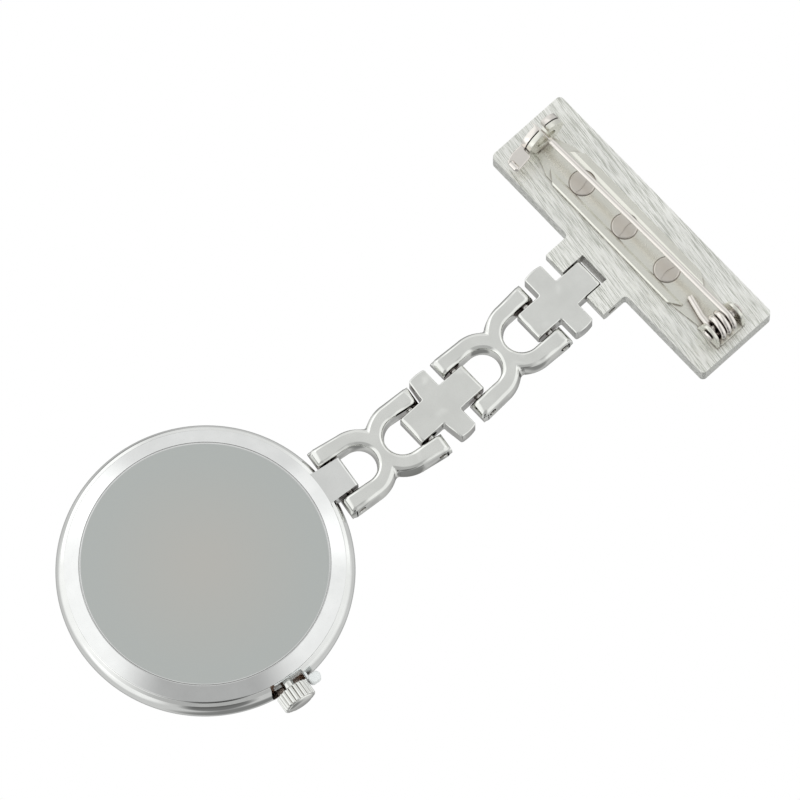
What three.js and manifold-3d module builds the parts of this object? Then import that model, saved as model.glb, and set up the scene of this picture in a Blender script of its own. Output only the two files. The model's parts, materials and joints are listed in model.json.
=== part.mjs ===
// A fob watch: a brooch plate with a safety pin, a four-link chain and a quartz watch head that hangs
// upside down.
// Millimetres, +Z up, with the brooch at the top. The dial faces -Y and the garment side faces +Y.
// The origin is the centre of the brooch plate's front face. Depths are measured from the plate's garment
// face, and the whole watch is then moved back by the plate's depth.
import * as THREE from "three";
import Module from "manifold-3d";
import { mergeVertices } from "three/addons/utils/BufferGeometryUtils.js";
import { RoundedBoxGeometry } from "three/addons/geometries/RoundedBoxGeometry.js";

const wasm = await Module();
wasm.setup();

// Longer than any piece, for cuts that go right through.
const FAR = 40;

// Driving dimensions, chain and brooch.
const PLATE_WIDTH = 31.2;
const PLATE_HEIGHT = 9.5;
const PLATE_DEPTH = 2.4;
const PLATE_EDGE = 0.35;
const PLATE_CORNER = 0.25;
const TAB_WIDTH = 8.5;
const TAB_FRONT = -2.1;
const TAB_REACH = 1.15;
const NOTCH_WIDTH = 3.5;
const NOTCH_TOP = -5.05;
const NOTCH_FRONT = -5.25;
const HINGE_Y = -1.1;
const PIN_RADIUS = 0.4;
const PIN_BORE = 0.42;
const LINK_BACK = HINGE_Y + 0.98;
const LINK_FRONT = -PLATE_DEPTH;
const BACK_ROLL = 0.45;
const FRONT_ROLL = 0.75;
const TONGUE_WIDTH = 3.25;
const WING_WIDTH = 7.9;
const WING_LOW = -1.42;
const WING_HIGH = 0.85;
const WING_EDGE = 0.2;
const SWING_RADIUS = 1.43;
const SWING_START = 1.95;
const CROSS_HALF = 3.1;
const CROSS_LOW = -4.5;
const CROSS_HIGH = 4.05;
const BOW_HALF = 4.9;
const BOW_LOW = -6.15;
const BOW_HIGH = 5.95;
const BOW_WIDTH = 7.8;
const BOW_GAP = 4.0;
const BOW_ARC_RADIUS = 3.7;
const BOW_ARC_CENTRE = 2.75;
const BOW_BRIDGE = 1.25;
const FIRST_PIN_Z = -6.6;
const CROSS_1_Z = FIRST_PIN_Z - CROSS_HALF;
const BOW_1_Z = CROSS_1_Z - CROSS_HALF - BOW_HALF;
const CROSS_2_Z = BOW_1_Z - BOW_HALF - CROSS_HALF;
const BOW_2_Z = CROSS_2_Z - CROSS_HALF - BOW_HALF;
const LUG_PIN_Z = BOW_2_Z - BOW_HALF;
const PLAY_PIN_Z = CROSS_2_Z - CROSS_HALF;
const PLAY_BORE = 0.66;
const LEAN = THREE.MathUtils.degToRad(8);

// Driving dimensions, safety pin.
const BASE_FLOOR = 0.4;
const BASE_HALF_WIDTH = 2.15;
const BASE_LIFT = 0.01;
const FLANGE_TOP = 0.85;
const SPRING_X = -13.3;
const SPRING_Y = 1.95;
const WIRE_RADIUS = 0.32;
const COIL_RADIUS = 1.08;
const COIL_PITCH = 0.72;
const COIL_TURNS = 3;
const NEEDLE_TIP_X = 14.9;
const HOOK_X = [12.55, 13.1];
const HOOK_RADIUS = 2.2;
const HOOK_MOUTH = 0.35;
const BARREL_INNER = 1.2;
const BARREL_OUTER = 1.42;
const LOCK_X = [13.2, 13.8];
const LOCK_INNER = 1.46;
const LOCK_OUTER = 2.25;
const LOCK_MOUTH = 0.38;
const TAB_END = 11.9;
const TAB_THICKNESS = 0.5;
const CATCH_Y = 2.75;
const SEAT_DEPTH = 0.05;
const SEAT_HALF = { x: 15.2, z: 2.6 };
const CHANNEL_START = -8.4;
const CHANNEL_END = 10.1;
const RIM_WIDTH = 0.35;
const CATCH_END = 12.6;
const EAR_END = -11.2;
const EAR_OUTER = 1.9;
const EAR_THICKNESS = 0.4;
const EAR_RADIUS = 1.15;
const RIVET_RADIUS = 0.58;
const RIVET_BORE = 0.62;
const RIVET_BOTTOM = -1.1;
const RIVET_HEAD_RADIUS = 1.32;
const RIVET_XS = [7.2, 1.0, -5.2];

// Driving dimensions, watch head. T runs along the head's axis: 0 at the hinge plane, plus towards the
// garment.
const LUG_REACH = 16.35;
const LUG_HALF = 1.05;
const HEAD_Z = LUG_PIN_Z - LUG_REACH;
const ROUND = 44;
const CAVITY_RADIUS = 12.2;
const DIAL_RADIUS = 12.0;
const DIAL_BACK = -1.55;
const DIAL_FRONT = -1.95;
const STEM_RADIUS = 0.3;
const TUBE_RADIUS = 0.62;
const RECESS_FLOOR = 0.65;
const CROWN_RADIUS = 1.8;
const CROWN_INNER = 15.15;
const CROWN_EDGE = 16.75;
const CROWN_OUTER = 17.02;
const STEM_END = 16.35;
const POCKET_FLOOR = 13.6;
const POCKET_RADIUS = 2.15;
const BATTERY_RADIUS = 3.4;
const BATTERY_AT = [4.2, -5.1];

// Movement arbors, in the head's plane as [x, z] from its centre.
const CENTRE = [0, 0];
const THIRD = [-2.185, 2.605];
const INTERMEDIATE = [3.03, 1.75];
const ROTOR = [3.93, 3.31];
const MINUTE_POST = [-3.0, 0];
const PILLARS = [[-3.86, -4.6], [5.9, -0.95], [0, 6.3]];
const CLAMP_POST = [-0.6, -7.6];
const CLAMP_TOP = 1.17;
const STATOR_ANGLE = Math.atan2(ROTOR[1], ROTOR[0]);

// Materials.
const finish = (color, metalness, roughness, extra = {}) => () =>
  new THREE.MeshStandardMaterial({ color, metalness, roughness, ...extra });
const brushedSteel = finish(0xcdd1c8, 1, 0.38);
const polishedSteel = finish(0xdfe0df, 1, 0.12);
const satinSteel = finish(0xb6bcba, 1, 0.3);
const nickel = finish(0xd8cdc2, 1, 0.2);
const brass = finish(0xc9a85a, 1, 0.35);
const darkSteel = finish(0x8d8f90, 1, 0.45);
const glass = finish(0xffffff, 0, 0.03, { transparent: true, opacity: 0.35 });
const whitePlastic = finish(0xf1f1ee, 0, 0.5);
const clearPlastic = finish(0xe3e7e6, 0, 0.35, { transparent: true, opacity: 0.7 });
const blackRubber = finish(0x1c1c1c, 0, 0.8);
const dialPaint = finish(0xf6f6f2, 0, 0.45);
const blackPaint = finish(0x101010, 0, 0.35);
const redPaint = finish(0xb01414, 0, 0.35);
const copper = finish(0xb8683a, 1, 0.4);
const greenBoard = finish(0x2c6a3e, 0, 0.5);

// Solids. A geometry becomes a solid once its shared corners are merged.
function solid(geometry) {
  const bare = geometry.index ? geometry.toNonIndexed() : geometry.clone();
  bare.deleteAttribute("normal");
  bare.deleteAttribute("uv");
  const merged = mergeVertices(bare, 1e-4);
  return new wasm.Manifold(new wasm.Mesh({
    numProp: 3,
    vertProperties: new Float32Array(merged.attributes.position.array),
    triVerts: new Uint32Array(merged.index.array),
  }));
}

function geometryOf(body) {
  const mesh = body.getMesh();
  const geometry = new THREE.BufferGeometry();
  geometry.setAttribute("position", new THREE.BufferAttribute(new Float32Array(mesh.vertProperties), 3));
  geometry.setIndex(new THREE.BufferAttribute(new Uint32Array(mesh.triVerts), 1));
  geometry.computeVertexNormals();
  return geometry;
}

const join = (...solids) => solids.reduce((whole, next) => whole.add(next));

function box(x0, x1, y0, y1, z0, z1) {
  const geometry = new THREE.BoxGeometry(x1 - x0, y1 - y0, z1 - z0);
  return solid(geometry.translate((x0 + x1) / 2, (y0 + y1) / 2, (z0 + z1) / 2));
}

// A round bar between two distances along X, Y or Z; `at` gives its other two coordinates in X, Y, Z order.
function bar(axis, radius, from, to, at, segments = 12) {
  const geometry = new THREE.CylinderGeometry(radius, radius, to - from, segments);
  const middle = (from + to) / 2;
  if (axis === "x") geometry.rotateZ(-Math.PI / 2).translate(middle, at[0], at[1]);
  if (axis === "y") geometry.translate(at[0], middle, at[1]);
  if (axis === "z") geometry.rotateX(Math.PI / 2).translate(at[0], at[1], middle);
  return solid(geometry);
}

// A turned piece about the Y axis; the profile is [radius, t], anticlockwise, and `at` is its [x, z].
function turned(profile, segments = ROUND, at = CENTRE) {
  const closed = profile[0][0] > 0 ? [...profile, profile[0]] : profile;
  const points = closed.map(([radius, t]) => new THREE.Vector2(radius, t));
  return solid(new THREE.LatheGeometry(points, segments).translate(at[0], 0, at[1]));
}

function ring(inner, outer, low, high, segments = 32, at = CENTRE) {
  return turned([[inner, low], [outer, low], [outer, high], [inner, high]], segments, at);
}

// A flat piece whose outline is in X and Z, from one Y to another.
function flat(shape, low, high, curveSegments = 8) {
  const options = { depth: high - low, bevelEnabled: false, curveSegments };
  const geometry = new THREE.ExtrudeGeometry(shape, options);
  return solid(geometry.rotateX(Math.PI / 2).translate(0, high, 0));
}

// A side profile whose outline is in Y (across) and Z (up), from one X to another.
function side(shape, from, to, curveSegments = 6) {
  const geometry = new THREE.ExtrudeGeometry(shape, { depth: to - from, bevelEnabled: false, curveSegments });
  const turn = new THREE.Matrix4().set(0, 0, 1, from, 1, 0, 0, 0, 0, 1, 0, 0, 0, 0, 0, 1);
  return solid(geometry.applyMatrix4(turn));
}

function outline(points) {
  return new THREE.Shape(points.map(([u, v]) => new THREE.Vector2(u, v)));
}

// A bar's side profile from front to back, whose corners roll over.
function rolledBar(front, back, low, high) {
  const shape = new THREE.Shape();
  shape.absarc(back - BACK_ROLL, high - BACK_ROLL, BACK_ROLL, 0, Math.PI / 2, false);
  shape.absarc(front + FRONT_ROLL, high - FRONT_ROLL, FRONT_ROLL, Math.PI / 2, Math.PI, false);
  shape.absarc(front + FRONT_ROLL, low + FRONT_ROLL, FRONT_ROLL, Math.PI, 1.5 * Math.PI, false);
  shape.absarc(back - BACK_ROLL, low + BACK_ROLL, BACK_ROLL, 1.5 * Math.PI, 2 * Math.PI, false);
  return shape;
}

// The fourth pin sits loosely in its cross link, so everything below it leans a little to one side at rest.
const watch = new THREE.Group();
watch.name = "fob_watch";
watch.position.y = PLATE_DEPTH;
const lean = new THREE.Group();
lean.position.set(0, HINGE_Y, PLAY_PIN_Z);
lean.rotation.y = -LEAN;
watch.add(lean);
const hanging = new THREE.Group();
hanging.position.set(0, -HINGE_Y, -PLAY_PIN_Z);
lean.add(hanging);
const head = new THREE.Group();
head.position.set(0, HINGE_Y, HEAD_Z);
hanging.add(head);

function piece(parent, name, body, material) {
  const mesh = new THREE.Mesh(geometryOf(body), material());
  mesh.name = name;
  parent.add(mesh);
}

// Brooch plate: a brushed slab, softened round its front, with a clevis tab below it. Its rivet holes take
// the pin base's rivets, and a shallow seat keeps the pin base's weight off the strip that touches the cloth.
function broochPlate() {
  const edge = PLATE_EDGE;
  const x = PLATE_WIDTH / 2 - edge;
  const z = PLATE_HEIGHT / 2 - edge;
  const shape = new THREE.Shape();
  shape.absarc(x - PLATE_CORNER, z - PLATE_CORNER, PLATE_CORNER, 0, Math.PI / 2, false);
  shape.absarc(PLATE_CORNER - x, z - PLATE_CORNER, PLATE_CORNER, Math.PI / 2, Math.PI, false);
  shape.absarc(PLATE_CORNER - x, PLATE_CORNER - z, PLATE_CORNER, Math.PI, 1.5 * Math.PI, false);
  shape.absarc(x - PLATE_CORNER, PLATE_CORNER - z, PLATE_CORNER, 1.5 * Math.PI, 2 * Math.PI, false);
  const bevel = { bevelThickness: edge, bevelSize: edge, bevelSegments: 2 };
  const soft = { ...bevel, curveSegments: 2, depth: PLATE_DEPTH };
  const block = new THREE.ExtrudeGeometry(shape, soft).rotateX(Math.PI / 2).translate(0, edge, 0);
  const slab = solid(block).subtract(box(-FAR, FAR, 0, FAR, -FAR, FAR));
  const tab = side(rolledBar(TAB_FRONT, 0, FIRST_PIN_Z - TAB_REACH, -3), -TAB_WIDTH / 2, TAB_WIDTH / 2);
  const slope = [[0, NOTCH_TOP], [-PLATE_DEPTH, NOTCH_FRONT], [-FAR, NOTCH_FRONT], [-FAR, -FAR], [FAR, -FAR]];
  const notch = side(outline([...slope, [FAR, NOTCH_TOP]]), -NOTCH_WIDTH / 2, NOTCH_WIDTH / 2);
  const bore = bar("x", PIN_BORE, -FAR, FAR, [HINGE_Y, FIRST_PIN_Z]);
  const holes = RIVET_XS.map((rivetX) => bar("y", RIVET_BORE, RIVET_BOTTOM - 0.1, FAR, [rivetX, 0], 16));
  const seat = box(-SEAT_HALF.x, SEAT_HALF.x, -SEAT_DEPTH, FAR, -SEAT_HALF.z, SEAT_HALF.z);
  return join(slab, tab).subtract(seat).subtract(notch).subtract(bore).subtract(join(...holes));
}

// Pin base: a shallow channel with folded hinge ears at one end and a round catch at the other.
function pinBase() {
  const wide = BASE_HALF_WIDTH;
  const floorShape = outline([
    [CATCH_END, -1.2], [CATCH_END, 1.2], [CHANNEL_END, wide], [CHANNEL_START, wide],
    [EAR_END, EAR_OUTER], [-14.6, EAR_OUTER], [-14.6, -EAR_OUTER], [EAR_END, -EAR_OUTER],
    [CHANNEL_START, -wide], [CHANNEL_END, -wide],
  ]);
  const floor = flat(floorShape, BASE_LIFT, BASE_FLOOR);
  const rims = [-wide, wide - RIM_WIDTH].map((z) =>
    box(CHANNEL_START, CHANNEL_END, BASE_LIFT, FLANGE_TOP, z, z + RIM_WIDTH));
  const earShape = new THREE.Shape();
  earShape.moveTo(SPRING_X + 1.5, BASE_LIFT);
  earShape.absarc(SPRING_X, SPRING_Y, EAR_RADIUS, 0, Math.PI, false);
  earShape.lineTo(SPRING_X - 1.3, BASE_LIFT);
  const ears = [-EAR_OUTER, EAR_OUTER - EAR_THICKNESS].map((z) => {
    const options = { depth: EAR_THICKNESS, bevelEnabled: false, curveSegments: 10 };
    return solid(new THREE.ExtrudeGeometry(earShape, options).translate(0, 0, z));
  });
  const rivetBore = bar("z", PIN_BORE, -FAR, FAR, [SPRING_X, SPRING_Y], 16);
  const holes = RIVET_XS.map((x) => bar("y", RIVET_BORE, -1, 1, [x, 0], 16));
  const mouth = [HOOK_MOUTH, 2 * Math.PI - HOOK_MOUTH];
  const hook = arcBand(BARREL_INNER, HOOK_RADIUS, ...mouth, HOOK_X[0], HOOK_X[1]);
  const barrel = arcBand(BARREL_INNER, BARREL_OUTER, ...mouth, HOOK_X[0], LOCK_X[1] + 0.1);
  const foot = box(HOOK_X[0], HOOK_X[1], BASE_LIFT, CATCH_Y - BARREL_OUTER, -0.7, 0.7);
  const tongue = box(CATCH_END - 1, HOOK_X[1], BASE_LIFT, BASE_FLOOR, -0.7, 0.7);
  const plain = join(floor, ...rims, ...ears, tongue, foot, hook, barrel);
  return plain.subtract(rivetBore).subtract(join(...holes));
}

// A round band about the catch's axis, from one angle to another; the angle starts at +Y and turns to +Z.
function arcBand(inner, outer, start, end, from, to) {
  const shape = new THREE.Shape();
  shape.absarc(CATCH_Y, 0, outer, start, end, false);
  shape.absarc(CATCH_Y, 0, inner, end, start, true);
  return side(shape, from, to, 14);
}

// Catch lock: an open ring that turns on the catch's barrel, beside the hook, with a finger tab. A quarter
// turn moves its mouth away from the hook's mouth and shuts the needle in.
function catchLock() {
  const ring = arcBand(LOCK_INNER, LOCK_OUTER, LOCK_MOUTH, 2 * Math.PI - LOCK_MOUTH, LOCK_X[0], LOCK_X[1]);
  const low = CATCH_Y - TAB_THICKNESS / 2;
  const high = CATCH_Y + TAB_THICKNESS / 2;
  const arm = box(LOCK_X[0], LOCK_X[1], low, high, -3.2, -LOCK_OUTER + 0.15);
  const tab = box(TAB_END, LOCK_X[1], low, high, -4.6, -LOCK_OUTER - 0.1);
  return join(ring, arm, tab);
}

// Spring wire: three turns about the hinge rivet, a tail on the base and a straight needle to the catch.
function pinWire() {
  const low = -COIL_TURNS * COIL_PITCH / 2;
  class Helix extends THREE.Curve {
    getPoint(t, target = new THREE.Vector3()) {
      const angle = -Math.PI / 2 - 2 * Math.PI * (COIL_TURNS - 0.5) * t;
      const z = low + COIL_PITCH * (COIL_TURNS - 0.5) * t;
      const x = SPRING_X + COIL_RADIUS * Math.cos(angle);
      return target.set(x, SPRING_Y + COIL_RADIUS * Math.sin(angle), z);
    }
  }
  const circle = new THREE.Shape().absarc(0, 0, WIRE_RADIUS, 0, 2 * Math.PI, false);
  const options = { steps: 34, bevelEnabled: false, curveSegments: 3, extrudePath: new Helix() };
  const coil = solid(new THREE.ExtrudeGeometry(circle, options));
  const top = low + COIL_PITCH * (COIL_TURNS - 0.5);
  const needleY = SPRING_Y + COIL_RADIUS;
  const needleStart = [SPRING_X - 0.1, needleY, top];
  const straight = rod(needleStart, [NEEDLE_TIP_X - 2.5, needleY, 0.1], WIRE_RADIUS, WIRE_RADIUS);
  const pointStart = [NEEDLE_TIP_X - 2.51, needleY, 0.1];
  const point = rod(pointStart, [NEEDLE_TIP_X, needleY - 0.1, 0], WIRE_RADIUS, 0.05);
  const tail = rod([SPRING_X - 0.1, SPRING_Y - COIL_RADIUS, low], [-8.9, BASE_FLOOR + 0.36, -0.4],
    WIRE_RADIUS, WIRE_RADIUS);
  return join(coil, straight, point, tail);
}

// A straight rod between two points, with its own radius at each end.
function rod(from, to, startRadius, endRadius, segments = 10) {
  const start = new THREE.Vector3(...from);
  const along = new THREE.Vector3(...to).sub(start);
  const geometry = new THREE.CylinderGeometry(endRadius, startRadius, along.length(), segments);
  const upright = new THREE.Vector3(0, 1, 0);
  const turn = new THREE.Quaternion().setFromUnitVectors(upright, along.clone().normalize());
  geometry.applyQuaternion(turn);
  const middle = start.addScaledVector(along, 0.5);
  return solid(geometry.translate(middle.x, middle.y, middle.z));
}

function baseRivet(x) {
  const shank = bar("y", RIVET_RADIUS, RIVET_BOTTOM, BASE_FLOOR + 0.05, [x, 0], 16);
  const rivetHead = bar("y", RIVET_HEAD_RADIUS, BASE_FLOOR + 0.02, BASE_FLOOR + 0.2, [x, 0], 28);
  const score = box(x - 0.15, x - 0.05, BASE_FLOOR + 0.14, 1, -2, 2);
  return join(shank, rivetHead).subtract(score);
}

function hingeRivet() {
  const shank = bar("z", 0.4, -2.2, 2.2, [SPRING_X, SPRING_Y], 16);
  const heads = [[-2.2, -1.93], [1.93, 2.2]].map(([a, b]) => bar("z", 0.65, a, b, [SPRING_X, SPRING_Y], 20));
  return join(shank, ...heads);
}

// Cross link: a long tongue with rolled ends and a wing on each side, a little below the middle. The
// lower bore can be a loose one.
function crossLink(z, lowerBore = PIN_BORE) {
  const profile = rolledBar(LINK_FRONT, LINK_BACK, z + CROSS_LOW, z + CROSS_HIGH);
  const tongue = side(profile, -TONGUE_WIDTH / 2, TONGUE_WIDTH / 2);
  const wing = new RoundedBoxGeometry(WING_WIDTH, LINK_BACK - LINK_FRONT, WING_HIGH - WING_LOW, 1, WING_EDGE);
  wing.translate(0, (LINK_BACK + LINK_FRONT) / 2, z + (WING_HIGH + WING_LOW) / 2);
  const lower = bar("x", lowerBore, -FAR, FAR, [HINGE_Y, z - CROSS_HALF]);
  const upper = bar("x", PIN_BORE, -FAR, FAR, [HINGE_Y, z + CROSS_HALF]);
  return join(tongue, solid(wing)).subtract(lower).subtract(upper);
}

// Lower cross: its loose pin lets the bow below lean either way, so the undersides of its wings slope up
// to clear the bow as it swings.
function lowerCrossLink(z) {
  const reach = WING_WIDTH / 2 + 1 - SWING_START;
  const reliefs = [-1, 1].map((s) => {
    const space = new THREE.BoxGeometry(reach, FAR, SWING_RADIUS / 2);
    space.translate(s * (SWING_START + reach / 2), HINGE_Y, SWING_RADIUS * 0.75);
    space.rotateY(-s * LEAN);
    space.translate(0, 0, z - CROSS_HALF);
    return solid(space);
  });
  return crossLink(z, PLAY_BORE).subtract(join(...reliefs));
}

// Bow link: two horseshoes back to back, whose outer arcs meet in a cusp at the waist.
function bowLink(z) {
  const high = z + BOW_HIGH;
  const low = z + BOW_LOW;
  const half = BOW_WIDTH / 2;
  const gap = BOW_GAP / 2;
  const cusp = Math.asin(BOW_ARC_CENTRE / BOW_ARC_RADIUS);
  const gapCentre = BOW_BRIDGE / 2 + gap;
  const shape = new THREE.Shape();
  shape.moveTo(-gap, high);
  shape.lineTo(-half, high);
  shape.absarc(0, z + BOW_ARC_CENTRE, BOW_ARC_RADIUS, Math.PI, Math.PI + cusp, false);
  shape.absarc(0, z - BOW_ARC_CENTRE, BOW_ARC_RADIUS, Math.PI - cusp, Math.PI, false);
  shape.lineTo(-half, low);
  shape.lineTo(-gap, low);
  shape.absarc(0, z - gapCentre, gap, Math.PI, 0, true);
  shape.lineTo(gap, low);
  shape.lineTo(half, low);
  shape.absarc(0, z - BOW_ARC_CENTRE, BOW_ARC_RADIUS, 0, cusp, false);
  shape.absarc(0, z + BOW_ARC_CENTRE, BOW_ARC_RADIUS, -cusp, 0, false);
  shape.lineTo(half, high);
  shape.lineTo(gap, high);
  shape.absarc(0, z + gapCentre, gap, 0, -Math.PI, true);
  const plan = flat(shape, LINK_FRONT, LINK_BACK, 6);
  const profile = side(rolledBar(LINK_FRONT, LINK_BACK, low, high), -half - 1, half + 1);
  const bores = [-1, 1].map((s) => bar("x", PIN_BORE, -FAR, FAR, [HINGE_Y, z + s * BOW_HALF]));
  return plan.intersect(profile).subtract(join(...bores));
}

function linkPin(z, width) {
  return bar("x", PIN_RADIUS, -width / 2 + 0.1, width / 2 - 0.1, [HINGE_Y, z]);
}

// Case body: the middle ring with its lug, the crown's milled pocket and the stem hole.
function caseBody() {
  const body = turned([
    [13.2, -3.55], [13.2, -3.0], [13.95, -3.0], [14.45, -2.3], [14.85, -1.3], [14.98, -0.4], [14.95, 0.2],
    [14.78, 0.6], [14.5, 0.88], [14.07, 1.1], [13.2, 1.1], [13.2, RECESS_FLOOR], [CAVITY_RADIUS, RECESS_FLOOR],
    [CAVITY_RADIUS, -1.97], [11.5, -1.97], [11.9, -3.25], [12.6, -3.25], [12.6, -3.55],
  ]);
  const lugSide = side(rolledBar(-LUG_HALF, LUG_HALF, 13.4, LUG_REACH + LUG_HALF), -2.2, 2.2);
  const lugPlan = flat(outline([[-1.65, 18], [-1.87, 13.6], [1.87, 13.6], [1.65, 18]]), -3, 3);
  const lug = lugSide.intersect(lugPlan);
  const bore = bar("x", PIN_BORE, -6, 6, [0, LUG_REACH]);
  const pocket = bar("x", POCKET_RADIUS, -18, -POCKET_FLOOR, [0, 0], 20);
  const stemHole = bar("x", TUBE_RADIUS + 0.02, -18, -10, [0, 0], 16);
  return join(body, lug).subtract(bore).subtract(pocket).subtract(stemHole);
}

function caseBack() {
  return turned([
    [0, 1.42], [12.45, 1.42], [12.45, 0.87], [13.1, 0.87], [13.1, 1.13], [14.07, 1.13], [14.03, 1.25],
    [12.55, 2.1], [0, 2.1],
  ]);
}

function bezel() {
  return turned([
    [12.6, -4.45], [12.95, -4.45], [13.55, -4.0], [13.9, -3.4], [13.9, -3.03], [13.23, -3.03],
    [13.23, -3.58], [12.6, -3.58],
  ]);
}

function crystal() {
  return turned([
    [0, -4.85], [5, -4.82], [9, -4.68], [11.3, -4.5], [11.97, -4.3], [11.97, -3.28], [0, -3.28],
  ]);
}

// Dial: a thin disc with twelve raised hour markers.
function dial() {
  const disc = ring(0.95, DIAL_RADIUS, DIAL_FRONT, DIAL_BACK, ROUND);
  const markers = Array.from({ length: 12 }, (_, hour) => {
    const long = hour % 3 === 0 ? 1.8 : 1.2;
    const geometry = new THREE.BoxGeometry(0.4, 0.16, long).translate(0, DIAL_FRONT - 0.06, 10.7 - long / 2);
    return solid(geometry.rotateY((hour * Math.PI) / 6));
  });
  return join(disc, ...markers);
}

function movementHolder() {
  const body = ring(10.3, 12.1, -1.5, 1.0, 40);
  return body.subtract(box(-13, -9, -0.6, 2, -0.6, 0.6));
}

// A wheel's toothed disc: straight-flanked teeth on a pitch circle of `teeth` times `module` over two.
function toothed(teeth, module, low, high, at) {
  const pitch = (teeth * module) / 2;
  const points = [];
  for (let i = 0; i < 2 * teeth; i += 1) {
    const angle = (i * Math.PI) / teeth;
    const radius = i % 2 === 0 ? pitch + 0.8 * module : pitch - 1.2 * module;
    points.push([at[0] + radius * Math.cos(angle), at[1] + radius * Math.sin(angle)]);
  }
  return flat(outline(points), low, high);
}

const arbor = (radius, low, high, at, segments = 10) => bar("y", radius, low, high, at, segments);

function mainPlate() {
  const disc = arbor(10.2, -0.7, -0.25, CENTRE, 40);
  const pillars = [...PILLARS, CLAMP_POST].map((at, i) => arbor(0.5, -0.5, i < 3 ? 0.78 : 1.04, at, 14));
  const screwHoles = [...PILLARS, CLAMP_POST].map((at) => arbor(0.24, 0.1, 2, at, 10));
  const pivots = [[0.62, CENTRE], [0.14, THIRD], [0.16, INTERMEDIATE], [0.14, ROTOR], [0.24, MINUTE_POST]];
  const holes = pivots.map(([radius, at]) => arbor(radius, -2, 0, at, 14));
  const batteryHole = arbor(BATTERY_RADIUS + 0.12, -2, 0, BATTERY_AT, 28);
  const stemSlot = box(-12, -5.7, -2, 2, -0.75, 0.75);
  const coilSlot = statorFrame(box(-3.1, 3.1, -2, 2, 6.9, 8.5));
  return join(disc, ...pillars)
    .subtract(join(...screwHoles, ...holes, batteryHole, stemSlot, coilSlot));
}

// Turns a solid made with the motor's centre line along +Z to its place over the rotor.
function statorFrame(body) {
  return body.rotate([0, 90 - (STATOR_ANGLE * 180) / Math.PI, 0]);
}

function trainBridge() {
  const shape = outline([
    [-4.9, -4.8], [-3.3, -5.6], [0.2, -2.6], [2.0, -1.3], [6.6, -1.6], [6.7, 0.2], [4.9, 4.2], [0.7, 7.2],
    [-0.8, 7.1], [-5.0, 3.2],
  ]);
  const pivots = [[0.2, CENTRE], [0.14, THIRD], [0.16, INTERMEDIATE], [0.14, ROTOR]];
  const holes = pivots.map(([radius, at]) => arbor(radius, 0, 2, at, 12));
  const screwHoles = PILLARS.map((at) => arbor(0.26, 0, 2, at, 12));
  return flat(shape, 0.8, 1.05).subtract(join(...holes, ...screwHoles));
}

function screw(at, seat) {
  const shank = arbor(0.2, 0.2, seat + 0.1, at, 10);
  const top = arbor(0.5, seat + 0.02, seat + 0.2, at, 20);
  const slot = box(at[0] - 0.6, at[0] + 0.6, seat + 0.12, seat + 1, at[1] - 0.06, at[1] + 0.06);
  return join(shank, top).subtract(slot);
}

function battery() {
  return turned([
    [0, -0.98], [2.6, -0.98], [2.7, -0.8], [3.3, -0.75], [BATTERY_RADIUS, -0.65], [BATTERY_RADIUS, 0.95],
    [3.3, 1.04], [0, 1.04],
  ], 28, BATTERY_AT);
}

function batteryClamp() {
  const arm = outline([[-1.3, -8.2], [3.6, -6.4], [3.9, -5.2], [-1.3, -7.0]]);
  return flat(arm, CLAMP_TOP - 0.1, CLAMP_TOP).subtract(arbor(0.26, 0, 2, CLAMP_POST, 12));
}

function circuitBoard() {
  const shape = new THREE.Shape();
  const [start, end] = [1.72, 2.95];
  shape.absarc(0, 0, 9.9, start, end, false);
  shape.absarc(0, 0, 6.9, end, start, true);
  const chip = new THREE.SphereGeometry(1.0, 12, 6).scale(1, 0.5, 1).translate(-7.5, -0.12, 3.4);
  const flush = box(-10, 0, -1, -0.2, 0, 10);
  return join(flat(shape, -0.22, -0.1, 14), solid(chip).subtract(flush));
}

function quartzCan() {
  const can = bar("x", 0.55, -2.2, 2.2, [0.5, 8.4], 18);
  return can.rotate([0, -28, 0]);
}

function stator() {
  const yoke = outline([
    [-3.9, 4.05], [3.9, 4.05], [3.9, 8.3], [3.2, 8.3], [3.2, 6.25], [-3.2, 6.25], [-3.2, 8.3], [-3.9, 8.3],
  ]);
  const bore = arbor(0.9, -1, 1, [0, Math.hypot(...ROTOR)], 24);
  return statorFrame(flat(yoke, -0.22, 0.02).subtract(bore));
}

function coilCore() {
  return statorFrame(box(-3.9, 3.9, 0.04, 0.34, 7.45, 7.95));
}

function coil() {
  const wound = bar("x", 0.6, -2.5, 2.5, [0.19, 7.7], 20);
  const cheeks = [-1, 1].map((s) => bar("x", 0.64, s * 2.65 - 0.15, s * 2.65 + 0.15, [0.19, 7.7], 20));
  const window = box(-4, 4, 0.0, 0.38, 7.4, 8.0);
  return statorFrame(join(wound, ...cheeks).subtract(window));
}

function rotor() {
  const magnet = arbor(0.7, -0.15, 0.45, ROTOR, 24);
  return join(magnet, arbor(0.1, -0.5, 0.95, ROTOR), toothed(6, 0.1, 0.56, 0.71, ROTOR));
}

function intermediateWheel() {
  const wheel = toothed(30, 0.1, 0.56, 0.71, INTERMEDIATE);
  return join(wheel, toothed(6, 1 / 6, 0.34, 0.49, INTERMEDIATE), arbor(0.12, -0.5, 0.95, INTERMEDIATE));
}

function secondWheel() {
  const wheel = toothed(36, 1 / 6, 0.34, 0.49, CENTRE);
  return join(wheel, toothed(8, 0.1, 0.12, 0.27, CENTRE), arbor(0.16, -3.1, 0.95, CENTRE));
}

function thirdWheel() {
  const wheel = toothed(60, 0.1, 0.12, 0.27, THIRD);
  return join(wheel, toothed(8, 3.4 / 36, -0.1, 0.05, THIRD), arbor(0.1, -0.5, 0.95, THIRD));
}

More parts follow.
